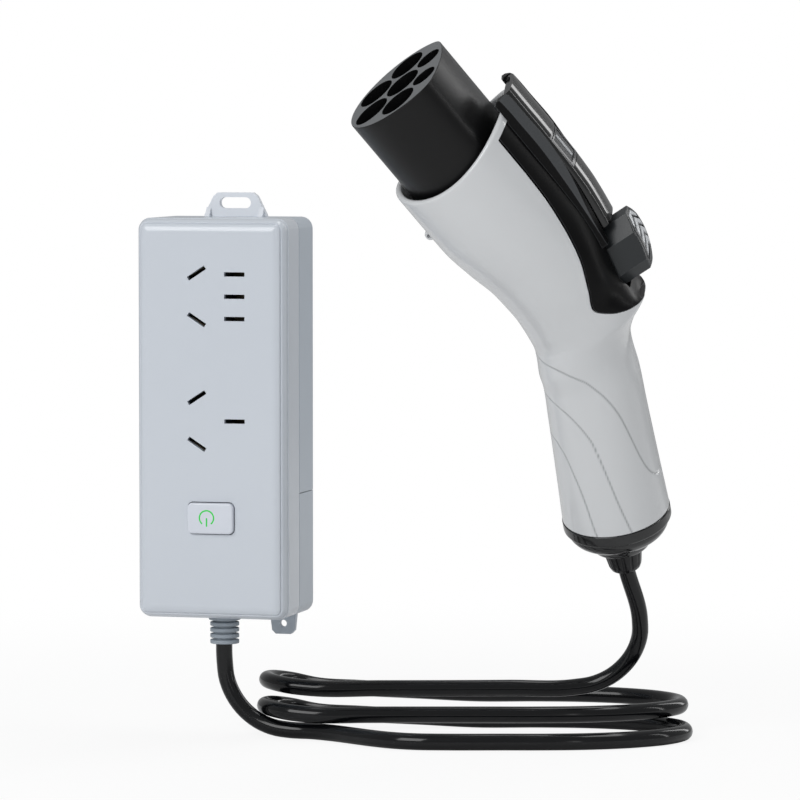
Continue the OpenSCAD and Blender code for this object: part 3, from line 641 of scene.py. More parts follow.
def moulding_group() -> None:
    """Builds the group for moulded surfaces: clouded colour, uneven gloss and fine grain."""
    tree, wire, given, out = shader_group(
        "moulding",
        {"Color": ("NodeSocketColor", (0.5, 0.5, 0.5, 1)), "Tint": ("NodeSocketFloat", 0.03),
         "Roughness": ("NodeSocketFloat", 0.3), "Spread": ("NodeSocketFloat", 0.05),
         "Grain": ("NodeSocketFloat", 1500.0), "Height": ("NodeSocketFloat", 0.05),
         "Wave": ("NodeSocketFloat", 0.0)},
        {"Color": "NodeSocketColor", "Roughness": "NodeSocketFloat", "Normal": "NodeSocketVector"})
    cloud = wire.noise(38.0, 4.0)
    smear = wire.noise(140.0, 5.0)
    grain = wire.noise(given.outputs["Grain"], 2.0)
    swell = wire.noise(55.0, 1.0)
    tone = wire.maths("MULTIPLY_ADD", wire.maths("SUBTRACT", cloud, 0.5), given.outputs["Tint"], 1.0)
    paint = given.outputs["Color"]
    tinted = wire.node("ShaderNodeVectorMath", {"0": paint, "Scale": tone}, operation="SCALE")
    gloss = wire.maths("MULTIPLY_ADD", wire.maths("SUBTRACT", smear, 0.5), given.outputs["Spread"],
                       given.outputs["Roughness"], clamp=True)
    fine = wire.node("ShaderNodeBump", {"Height": grain, "Strength": given.outputs["Height"],
                                        "Distance": 0.0004}).outputs["Normal"]
    broad = wire.node("ShaderNodeBump", {"Height": swell, "Strength": given.outputs["Wave"],
                                         "Distance": 0.0006, "Normal": fine}).outputs["Normal"]
    tree.links.new(tinted.outputs[0], out.inputs["Color"])
    tree.links.new(gloss, out.inputs["Roughness"])
    tree.links.new(broad, out.inputs["Normal"])


def edge_group() -> None:
    """Builds the group that lightens edges with a painted highlight."""
    tree, wire, given, out = shader_group(
        "rubbed_edges",
        {"Color": ("NodeSocketColor", (0.5, 0.5, 0.5, 1)), "Edge Color": ("NodeSocketColor", (1, 1, 1, 1)),
         "Amount": ("NodeSocketFloat", 0.3)},
        {"Color": "NodeSocketColor"})
    # Painted highlight: where the Bevel node finds an edge, the colour is mixed towards the highlight colour,
    # broken up by noise.
    facing = wire.node("ShaderNodeNewGeometry").outputs["Normal"]
    round_about = wire.node("ShaderNodeBevel", {"Radius": 0.00035}, samples=6).outputs["Normal"]
    agree = wire.node("ShaderNodeVectorMath", {"0": facing, "1": round_about}, operation="DOT_PRODUCT")
    patchy = wire.noise(260.0, 3.0)
    ridge = wire.maths("MULTIPLY", wire.maths("SUBTRACT", 0.99, agree.outputs["Value"]), 8.0, clamp=True)
    edge = wire.maths("MULTIPLY", ridge, wire.maths("MULTIPLY_ADD", patchy, 0.8, 0.4), clamp=True)
    share = wire.maths("MULTIPLY", edge, given.outputs["Amount"], clamp=True)
    paint = wire.mixed(share, given.outputs["Color"], given.outputs["Edge Color"])
    tree.links.new(paint, out.inputs["Color"])


@dataclass(frozen=True)
class Finish:
    """One finish of the adapter, made once into a material."""

    name: str
    base: tuple[float, float, float, float]
    roughness: float
    tint: float = 0.04
    spread: float = 0.08
    grain: float = 1800.0
    height: float = 0.04
    wave: float = 0.0
    coat: float = 0.0
    coat_roughness: float = 0.06
    specular: float = 0.5
    metallic: float = 0.0
    # edge is the colour of a painted highlight on the piece's edges, and edge_amount how strong it is.
    edge: tuple[float, float, float, float] | None = None
    edge_amount: float = 0.3
    # groove is mixed in where the piece's mark is high: painted shade in the grooves of the gun's shell, and
    # the silver of the button's ribs.
    groove: tuple[float, float, float, float] | None = None
    glow: float = 0.0

    def material(self) -> bpy.types.Material:
        """Builds the finish as a material, the first time that it is asked for.

        Returns:
            The material.
        """
        name = self.name + "_finish"
        known = bpy.data.materials.get(name)
        if known:
            return known
        made = bpy.data.materials.new(name)
        made.use_nodes = True
        tree = made.node_tree
        wire = Wiring(tree)
        shader = tree.nodes["Principled BSDF"]
        moulding = wire.node("ShaderNodeGroup", node_tree=bpy.data.node_groups["moulding"])
        for key, value in (("Color", self.base), ("Tint", self.tint), ("Roughness", self.roughness),
                           ("Spread", self.spread), ("Grain", self.grain), ("Height", self.height),
                           ("Wave", self.wave)):
            moulding.inputs[key].default_value = value
        paint = moulding.outputs["Color"]
        # Painted highlight on the edges.
        if self.edge:
            highlight_node = wire.node("ShaderNodeGroup", node_tree=bpy.data.node_groups["rubbed_edges"])
            tree.links.new(paint, highlight_node.inputs["Color"])
            highlight_node.inputs["Edge Color"].default_value = self.edge
            highlight_node.inputs["Amount"].default_value = self.edge_amount
            paint = highlight_node.outputs["Color"]
        # Colour by the mark attribute: painted shade in grooves, the silver of ribs.
        if self.groove:
            mark = wire.node("ShaderNodeAttribute", attribute_name="mark").outputs["Fac"]
            paint = wire.mixed(mark, paint, self.groove)
        tree.links.new(paint, shader.inputs["Base Color"])
        for key in ("Roughness", "Normal"):
            tree.links.new(moulding.outputs[key], shader.inputs[key])
        plain = {"Metallic": self.metallic, "Specular IOR Level": self.specular, "Coat Weight": self.coat,
                 "Coat Roughness": self.coat_roughness}
        if self.glow:
            plain |= {"Emission Color": self.base, "Emission Strength": self.glow}
        for key, value in plain.items():
            shader.inputs[key].default_value = value
        return made


# Where these finishes give an edge colour, it is a painted highlight on edges.
BOX_FRONT = Finish("box_front", colour(202, 208, 216), 0.24, tint=0.02, coat=0.2, height=0.01)
# The rear shells: the box's plastic painted darker and bluer, as painted shade on the box's side.
BOX_REAR_PAINTED_SHADE = Finish("box_rear", colour(183, 192, 202), 0.3, tint=0.02, coat=0.1, height=0.01)
# The tab above the box: the same plastic painted paler, as painted light.
BOX_TAB_PAINTED_LIGHT = Finish("box_tab", colour(226, 230, 236), 0.3, tint=0.02, coat=0.1, height=0.01)
KEY_CREAM = Finish("key_cream", colour(212, 217, 226), 0.3, tint=0.03, coat=0.1)
SIGN_GREEN = Finish("sign_green", colour(16, 198, 58), 0.35, tint=0.05, glow=0.15)
GROMMET_GREY = Finish("grommet_grey", colour(150, 159, 168), 0.45, height=0.08)
CABLE_BLACK = Finish("cable_black", colour(11, 12, 14), 0.13, height=0.004, specular=0.35, grain=2600.0)
# Its groove colour paints shade into the handle's grooves.
GUN_SHELL = Finish("gun_shell", colour(207, 209, 211), 0.14, tint=0.025, spread=0.05, height=0.012,
                   wave=0.03, coat=0.3, groove=colour(146, 149, 151))
NOSE_BLACK = Finish("nose_black", colour(8, 8, 9), 0.36, height=0.006, specular=0.27, spread=0.04,
                    edge=colour(95, 97, 100), edge_amount=0.5)
# The nose's front face: its black plastic painted lighter grey, as painted light.
NOSE_FACE_PAINTED_LIGHT = Finish("nose_face", colour(104, 106, 108), 0.5, height=0.12, tint=0.1, specular=0.3)
SEAL_BLACK = Finish("seal_black", colour(12, 12, 13), 0.55, height=0.15, specular=0.2)
CONTACT_SILVER = Finish("contact_silver", colour(190, 192, 196), 0.25, metallic=1.0)
LATCH_BLACK = Finish("latch_black", colour(9, 9, 10), 0.3, height=0.01, specular=0.12,
                     edge=colour(110, 112, 115), edge_amount=0.35)
RAIL_GREY = Finish("rail_grey", colour(70, 72, 74), 0.42, height=0.05, specular=0.25)
LEVER_BLACK = Finish("lever_black", colour(13, 14, 15), 0.12, height=0.002, specular=0.62, spread=0.02)
INSET_BLACK = Finish("inset_black", colour(36, 38, 41), 0.2, height=0.004, specular=0.5)
# The bar on the lever's inset: light grey, as a painted highlight.
INSET_BAR_PAINTED_HIGHLIGHT = Finish("inset_bar", colour(170, 173, 176), 0.25, height=0.004, specular=0.5)
BUTTON_BLACK = Finish("button_black", colour(40, 43, 45), 0.34, height=0.02, specular=0.35,
                      edge=colour(150, 152, 155), edge_amount=0.5, groove=colour(200, 203, 206))
END_BLACK = Finish("end_black", colour(18, 19, 20), 0.14, height=0.004, specular=0.6,
                   edge=colour(100, 102, 105), edge_amount=0.3)
INNER_BLACK = Finish("inner_black", colour(30, 31, 34), 0.5, height=0.1, specular=0.3)
BRASS = Finish("brass", colour(120, 112, 94), 0.4, metallic=1.0, tint=0.1)
BLOCK_GREY = Finish("block_grey", colour(70, 80, 92), 0.45, height=0.05)
BOARD_GREEN = Finish("board_green", colour(38, 96, 62), 0.45, tint=0.2)
SCREW_STEEL = Finish("screw_steel", colour(150, 153, 157), 0.3, metallic=1.0, tint=0.1)


# Geometry trees for what repeats


def geometry_tree(name: str, inputs: dict[str, str]) -> tuple[Wiring, bpy.types.Node]:
    """Starts a tree that takes a geometry, its own inputs and a finish.

    Args:
        name: the tree's name.
        inputs: names of its own inputs with their socket types.

    Returns:
        The tree's wiring and the node that holds its inputs.
    """
    tree = bpy.data.node_groups.new(name, "GeometryNodeTree")
    for key, kind in {"Geometry": "NodeSocketGeometry", **inputs, "Finish": "NodeSocketMaterial"}.items():
        tree.interface.new_socket(key, in_out="INPUT", socket_type=kind)
    tree.interface.new_socket("Geometry", in_out="OUTPUT", socket_type="NodeSocketGeometry")
    wire = Wiring(tree)
    return wire, wire.node("NodeGroupInput")


def end_tree(wire: Wiring, given: bpy.types.Node, shape: bpy.types.NodeSocket) -> None:
    """Ends a tree: its shape is made real, takes the finish and is put out.

    Args:
        wire: the tree's wiring.
        given: the node that holds its inputs.
        shape: the shape that it has made.
    """
    real = wire.node("GeometryNodeRealizeInstances", {"Geometry": shape})
    dressed = wire.node("GeometryNodeSetMaterial", {
        "Geometry": real.outputs["Geometry"], "Material": given.outputs["Finish"]})
    wire.node("NodeGroupOutput", {"Geometry": dressed.outputs["Geometry"]})


def repeat_tree() -> None:
    """Builds the tree that puts a template at each point, turned as the point's facing says."""
    wire, given = geometry_tree("repeat_template", {"Template": "NodeSocketObject"})
    facing = wire.node("GeometryNodeInputNamedAttribute", {"Name": "facing"}, data_type="FLOAT_VECTOR")
    template = wire.node("GeometryNodeObjectInfo", {"Object": given.outputs["Template"]})
    turned = wire.node("FunctionNodeEulerToRotation", {"Euler": facing.outputs["Attribute"]})
    placed = wire.node("GeometryNodeInstanceOnPoints", {
        "Points": given.outputs["Geometry"], "Instance": template.outputs["Geometry"],
        "Rotation": turned.outputs["Rotation"]})
    end_tree(wire, given, placed.outputs["Instances"])


def coil_tree() -> None:
    """Builds the tree that winds a wire into a spring."""
    sizes = dict.fromkeys(("Turns", "Radius", "Height", "Wire"), "NodeSocketFloat")
    wire, given = geometry_tree("wire_coil", sizes)
    spiral = wire.node("GeometryNodeCurveSpiral", {
        "Resolution": 28, "Rotations": given.outputs["Turns"], "Start Radius": given.outputs["Radius"],
        "End Radius": given.outputs["Radius"], "Height": given.outputs["Height"]})
    section = wire.node("GeometryNodeCurvePrimitiveCircle", {
        "Resolution": 10, "Radius": given.outputs["Wire"]})
    tube = wire.node("GeometryNodeCurveToMesh", {
        "Curve": spiral.outputs["Curve"], "Profile Curve": section.outputs["Curve"], "Fill Caps": True})
    end_tree(wire, given, tube.outputs["Mesh"])


def give_tree(thing: Thing, tree: str, values: dict[str, object]) -> Thing:
    """Runs a geometry tree on an object and keeps its result as plain mesh.

    Args:
        thing: the object.
        tree: the tree's name.
        values: input names with their values.

    Returns:
        The same object.
    """
    step = thing.modifiers.new(tree, "NODES")
    step.node_group = bpy.data.node_groups[tree]
    sockets = {s.name: s.identifier for s in step.node_group.interface.items_tree if s.in_out == "INPUT"}
    for key, value in values.items():
        step[sockets[key]] = value
    return settle(thing)


def repeated(name: str, template: Thing, places: Array, turns: Array,
             finish: Finish) -> Thing:
    """A piece made of one template at many places.

    Args:
        name: the piece's name.
        template: the form that repeats, which is deleted.
        places: one point for each copy, in millimetres.
        turns: three angles for each copy, in radians.
        finish: the piece's finish.

    Returns:
        The new object.
    """
    mesh = bpy.data.meshes.new(name)
    mesh.from_pydata((np.array(places, float) * MM).tolist(), [], [])
    facing = mesh.attributes.new("facing", "FLOAT_VECTOR", "POINT")
    facing.data.foreach_set("vector", np.array(turns, np.float32).reshape(-1))
    given = {"Template": template, "Finish": finish.material()}
    thing = give_tree(shown(name, mesh), "repeat_template", given)
    bpy.data.objects.remove(template)
    shade(thing.data, REPEAT_SHARP)
    return thing


@dataclass
class CrossScrew:
    """A pan-head screw with a cross recess, its head's top at zero and its shank down Z."""

    head: float = 2.8
    head_height: float = 2.0
    shank: float = 1.3
    length: float = 15.0
    tip: float = 0.4
    recess: tuple[float, float, float] = (1.8, 0.4, 0.9)

    def template(self) -> Thing:
        """The form that is repeated: a turned screw with two crossing slots in its head.

        Returns:
            The form, as a bare solid.
        """
        low = -self.head_height
        end = low - self.length
        profile = [(AXIS, 0.0), (self.head - 0.6, 0.0), (self.head - 0.2, -0.25), (self.head, -0.7),
                   (self.head, low), (self.shank, low), (self.shank, end + self.tip),
                   (self.shank - self.tip, end), (AXIS, end)]
        reach, half, depth = self.recess
        foot, top = np.array([0, 0, -depth]), np.array([0, 0, 1])
        cutters = [prism(rectangle(wide, -deep, deep)[:, (0, 2, 1)], foot, top)
                   for wide, deep in ((reach, half), (half, reach))]
        return carve(turned_block(profile, 48), cutters)


# The socket box


@dataclass
class SocketBox:
    """The box: its cover, rear shells, key and what lies behind the slots."""

    width: float = 65.5
    height: float = 168.0
    top: float = -5.8
    front: float = -39.0
    seam: float = -17.0
    back: float = 5.0
    lower_cover: float = 52.0
    wall: float = 2.4
    corner: float = 5.0
    front_round: float = 5.4
    band_step: float = 0.4
    line_depth: float = 0.6
    slot_length: float = 8.9
    slot_height: float = 1.8
    slot_lean: float = 33.0
    slanted: tuple[float, float] = (-5.6, 9.75)
    level: tuple[float, float] = (10.9, 9.3)
    outlets: tuple[float, float] = (-38.4, -90.5)
    key_place: tuple[float, float] = (0.6, -131.2)
    key_size: tuple[float, float, float] = (20.0, 13.0, 2.2)
    key_gap: float = 0.35
    key_rise: float = 2.0
    key_round: float = 0.8
    key_depth: float = 3.6
    screw_length: float = 28.6

    def outline(self, inset: float, depth: float) -> Array:
        """The box's outline.

        Args:
            inset: how far inside the box's width and height it runs.
            depth: its place between front and back.

        Returns:
            One point in each row.
        """
        flat = rounded(self.width - 2 * inset, self.height - 2 * inset, max(self.corner - inset, 0.8), 10)
        return self.upright(flat, (0, self.top - self.height / 2), depth)

    def upright(self, flat: Array, middle: Point, depth: float = 0.0) -> Array:
        """Stands a flat outline up.

        Args:
            flat: its points, across and up.
            middle: where its middle goes, across and up.
            depth: its place between front and back.

        Returns:
            The points with three coordinates.
        """
        return np.stack([flat[:, 0] + middle[0], np.full(len(flat), depth), flat[:, 1] + middle[1]], -1)

    def through_front(self, outline: Array) -> Thing:
        """A cutting solid that runs an outline through the cover's front wall."""
        return prism(outline, np.array([0, self.front - 2, 0]), np.array([0, self.front + self.wall + 2, 0]))

    def slots(self) -> list[tuple[float, float, float]]:
        """Places and leans of all pin slots.

        Returns:
            Place across, height and degrees of lean of each.
        """
        places = []
        for z, levels in zip(self.outlets, ((-1, 0, 1), (0,))):
            for side in (-1, 1):
                places.append((self.slanted[0], z + side * self.slanted[1], side * self.slot_lean))
            places += [(self.level[0], z + i * self.level[1], 0.0) for i in levels]
        return places

    def slot_cutter(self, x: float, z: float, lean: float) -> Thing:
        """The solid that cuts one pin slot, with softly broken corners.

        Args:
            x: place of its middle across the box.
            z: height of its middle.
            lean: degrees by which its right end is raised.

        Returns:
            The solid.
        """
        flat = rounded(self.slot_length, self.slot_height, 0.12, 2)
        cos, sin = math.cos(math.radians(lean)), math.sin(math.radians(lean))
        turned = np.column_stack([flat[:, 0] * cos - flat[:, 1] * sin, flat[:, 0] * sin + flat[:, 1] * cos])
        return self.through_front(self.upright(turned, (x, z)))

    def build_cover(self) -> Thing:
        """The front cover with its soft edge, slots and key window.

        Returns:
            The cover.
        """
        shoulder = self.front + self.front_round
        rows = [(0.8, self.seam), (0.55, self.seam - 0.12), (0.1, self.seam - 0.35), (0.0, self.seam - 0.55),
                (0.0, shoulder + 0.8), (0.12, shoulder + 0.6), (self.band_step + 0.25, shoulder + 0.2)]
        for degrees in range(3, 91, 3):
            a = math.radians(degrees)
            reach = self.front_round - self.line_depth * math.exp(-((degrees - 46) / 2.6) ** 2)
            inset = self.band_step + self.front_round - reach * math.cos(a)
            rows.append((inset, shoulder - reach * math.sin(a)))
        inner = [(self.wall + 3, self.front + self.wall), (self.wall + 0.6, self.front + self.wall + 0.5),
                 (self.wall, self.front + self.wall + 3), (self.wall, self.seam)]
        skin = Skin()
        skin.loft(np.array([self.outline(i, d) for i, d in rows]), caps="none")
        outer = skin.count
        count = outer // len(rows)
        skin.cover([list(range(outer - count, outer))])
        skin.loft(np.array([self.outline(i, d) for i, d in inner]), caps="none")
        skin.cover([list(range(outer, outer + count))])
        end = skin.count - count
        skin.cover([[i, (i + 1) % count, end + (i + 1) % count, end + i] for i in range(count)])
        cover = skin.piece("front_cover_moulded", [BOX_FRONT])
        grow = 2 * self.key_gap
        window = rounded(self.key_size[0] + grow, self.key_size[1] + grow, self.key_size[2] + self.key_gap)
        cutters = [self.slot_cutter(*place) for place in self.slots()]
        cutters.append(self.through_front(self.upright(window, self.key_place)))
        return soften(carve(cover, cutters), 0.18, 50)

    def build_key(self) -> Thing:
        """The power key, with a soft pillowed face.

        Returns:
            The key.
        """
        width, height, radius = self.key_size
        face = self.front - self.key_rise
        edge = self.key_round
        rows = [(0.0, self.front + self.key_depth), (0.0, face + edge)]
        rows += [(edge * (1 - math.cos(a)), face + edge * (1 - math.sin(a)))
                 for a in np.radians(range(15, 91, 15))]
        rows[1:] = [(inset, depth + 0.12) for inset, depth in rows[1:]]
        rows += [(1.4, face + 0.06), (2.4, face + 0.02), (3.4, face)]
        rings = [self.upright(rounded(width - 2 * inset, height - 2 * inset, max(radius - inset, 0.5)),
                              self.key_place, depth) for inset, depth in rows]
        skin = Skin()
        skin.loft(np.array(rings))
        return skin.piece("power_key_moulded", [KEY_CREAM])

    def build_rear(self, node: str) -> Thing:
        """One rear moulding with softened edges, painted darker as shade, and paler as painted light where
        the tab stands above the box.

        Args:
            node: the CAD node that it follows.

        Returns:
            The moulding.
        """
        shell = dressed_copy(node, [BOX_REAR_PAINTED_SHADE, BOX_TAB_PAINTED_LIGHT], 0.3)
        # Faces above the box's top take the tab's painted light.
        for face in shell.data.polygons:
            if face.center.z > (self.top + 0.3) * MM:
                face.material_index = 1
        return shell

    def build_screws(self) -> Thing:
        """The six screws in the rear shells, by the repeating tree.

        Returns:
            All six as one piece.
        """
        across = self.width / 2 - 8
        bottom = self.top - self.height
        rows = (self.top - 9, bottom + self.lower_cover + 7, bottom + 9)
        places = [(x, self.back - 0.3, z) for x in (-across, across) for z in rows]
        turns = [(-math.pi / 2, 0.0, 0.0)] * len(places)
        screw = CrossScrew(length=self.screw_length).template()
        return repeated("cover_screws_turned", screw, places, turns, SCREW_STEEL)



    def build(self) -> None:
        """Builds and dresses the whole box."""
        fit(self.build_cover(), "front_cover", ROOT)
        fit(self.build_key(), "power_key", "key")
        for node in ("rear_shell", "rear_lower_cover"):
            fit(self.build_rear(node), node, ROOT)
        fit(dressed_copy("grommet", [GROMMET_GREY], 0.35), "grommet", ROOT)
        fit(self.build_screws(), "cover_screws", ROOT)
        dress(SIGN_GREEN, "power_sign")
        dress(BRASS, "live_strip", "neutral_strip", "earth_strip")
        dress(BLOCK_GREY, "outlet_block_upper", "outlet_block_lower")
        dress(INNER_BLACK, "cable_clamp", "key_switch")
        dress(BOARD_GREEN, "circuit_board")


def dress(finish: Finish, *nodes: str) -> None:
    """Gives CAD nodes that keep their shape a finish.

    Args:
        finish: the finish.
        nodes: names of the nodes.
    """
    for node in nodes:
        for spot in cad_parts[node].material_slots:
            spot.material = finish.material()


# The gun's frame and the form of its shell


@dataclass
class GunFrame:
    """Where the gun is held: its frame in the row frame."""

    at: tuple[float, float, float] = (95.7, -85.0, 50.1)
    turn: tuple[float, float, float] = (35.6, 25.15, -82.0)

    def matrix(self) -> Array:
        """Rotation from the gun's frame to the row frame."""
        x, y, z = (Matrix.Rotation(math.radians(t), 3, axis) for t, axis in zip(self.turn, "XYZ"))
        return np.array(z @ y @ x)

    def place(self, points: Array) -> Array:
        """Points of the gun's frame, in the row frame."""
        return np.asarray(points, float) @ self.matrix().T + np.array(self.at)

    def aim(self, inner: Array) -> tuple[float, float, float]:
        """Euler angles in the row frame of a turn given in the gun's frame."""
        turned = Matrix((self.matrix() @ inner).tolist())
        return tuple(turned.to_euler())


@dataclass
class GunForm:
    """The outer form of the gun's shell, as sections from the collar's rim to the handle's end."""

    collar: float = 31.3
    wall: float = 2.6
    rim_wave: float = 3.1
    rim_lean: float = 2.75
    foot: tuple[float, float] = (-18.9, -149.7)
    lean: float = 28.4
    length: float = 64.6
    body: tuple[tuple[float, ...], ...] = (
        (-38.4, -31.3, -38.4, 31.3, 31.3, 2, 41, 1),
        (-50, -31.3, -50, 31.3, 31.3, 2, 41, 0),
        (-65, -31.2, -65, 31.3, 31, 2, 42, 0),
        (-80, -29.2, -80, 31, 30, 2, 46, 0),
        (-94, -26.4, -96, 30.2, 28.5, 2.05, 54, 0),
        (-106, -26, -110, 29.2, 26.8, 2.1, 66, 0),
        (-114, -26.8, -119, 27.8, 25.2, 2.15, 73, 0),
        (-119, -27.6, -125, 26.5, 24.2, 2.2, 62, 0),
        (-122, -28.2, -128.5, 25.3, 23.6, 2.2, 46, 0),
        (-124.5, -29, -130.6, 24, 23.2, 2.2, 25, 0),
        (-126.5, -29.9, -132.2, 22, 22.9, 2.25, 0, 0),
        (-130, -31.8, -136, 14.6, 22.2, 2.25, 0, 0),
        (-134.5, -34.4, -143, 6.4, 21.4, 2.3, 0, 0),
    )
    handle: tuple[tuple[float, float, float, float], ...] = (
        (0, 20.2, 20.4, 2.3), (0.25, 20.6, 20.6, 2.3), (0.5, 21.2, 21.2, 2.25),
        (0.75, 21.9, 21.9, 2.15), (1, 22.7, 22.7, 2))
    sinks: tuple[float, ...] = (0, 0, 0, 0, 1.6, 4.8, 5.6, 5, 4.2, 3)

    def table(self) -> Array:
        """All sections, those of the handle worked out from its lean and length.

        Returns:
            One row for each: Z and Y of the belly, Z and Y of the back, half its width, how
            square it is, half the opening's angle and how much of the rim's wave it has.
        """
        rows = list(self.body)
        sin, cos = math.sin(math.radians(self.lean)), math.cos(math.radians(self.lean))
        for share, half_h, half_w, square in self.handle:
            z = self.foot[1] - share * self.length * cos
            y = self.foot[0] - share * self.length * sin
            rows.append((z + half_h * sin, y - half_h * cos, z - half_h * sin, y + half_h * cos,
                         half_w, square, 0, 0))
        return np.array(rows, float)

    def down_handle(self, reach: float) -> Array:
        """A point on the handle's middle line, so far from its foot, in the gun's frame."""
        slope = math.radians(self.lean)
        return np.array([0, *self.foot]) + np.array([0, -math.sin(slope), -math.cos(slope)]) * reach

    def places(self) -> Array:
        """How far along the form each section is."""
        rows = self.table()
        return travelled(np.stack([rows[:, 0] + rows[:, 2], rows[:, 1] + rows[:, 3]], -1) / 2)

    def sections(self, at: Array) -> Array:
        """Sections at places along the form."""
        return through(self.places(), self.table(), at)

    def points(self, sections: Array, angles: Array, inset: Array | float = 0.0) -> Array:
        """Points on sections.

        Args:
            sections: one section, or one for each row of angles.
            angles: degrees, 0 at the back and 180 at the belly.
            inset: how far inside the surface the points lie.

        Returns:
            Points in the gun's frame.
        """
        s = sections[..., None, :]
        a = np.radians(angles)
        half = np.stack([s[..., 3] - s[..., 1], s[..., 2] - s[..., 0]], -1) / 2
        size = np.linalg.norm(half, axis=-1)
        c = bent(np.cos(a), 2 / s[..., 5])
        w = bent(np.sin(a), 2 / s[..., 5])
        wave = s[..., 7] * (self.rim_lean * np.cos(a) + self.rim_wave * np.cos(2 * a))
        shrink = c * (size - inset) / size
        y = (s[..., 1] + s[..., 3]) / 2 + half[..., 0] * shrink
        z = (s[..., 0] + s[..., 2]) / 2 + half[..., 1] * shrink + wave
        return np.stack([(s[..., 4] - inset) * w, y, z], -1)


class Side(Enum):
    """The two halves of the gun's shell, seen from behind the nose."""

    RIGHT = 1
    LEFT = -1


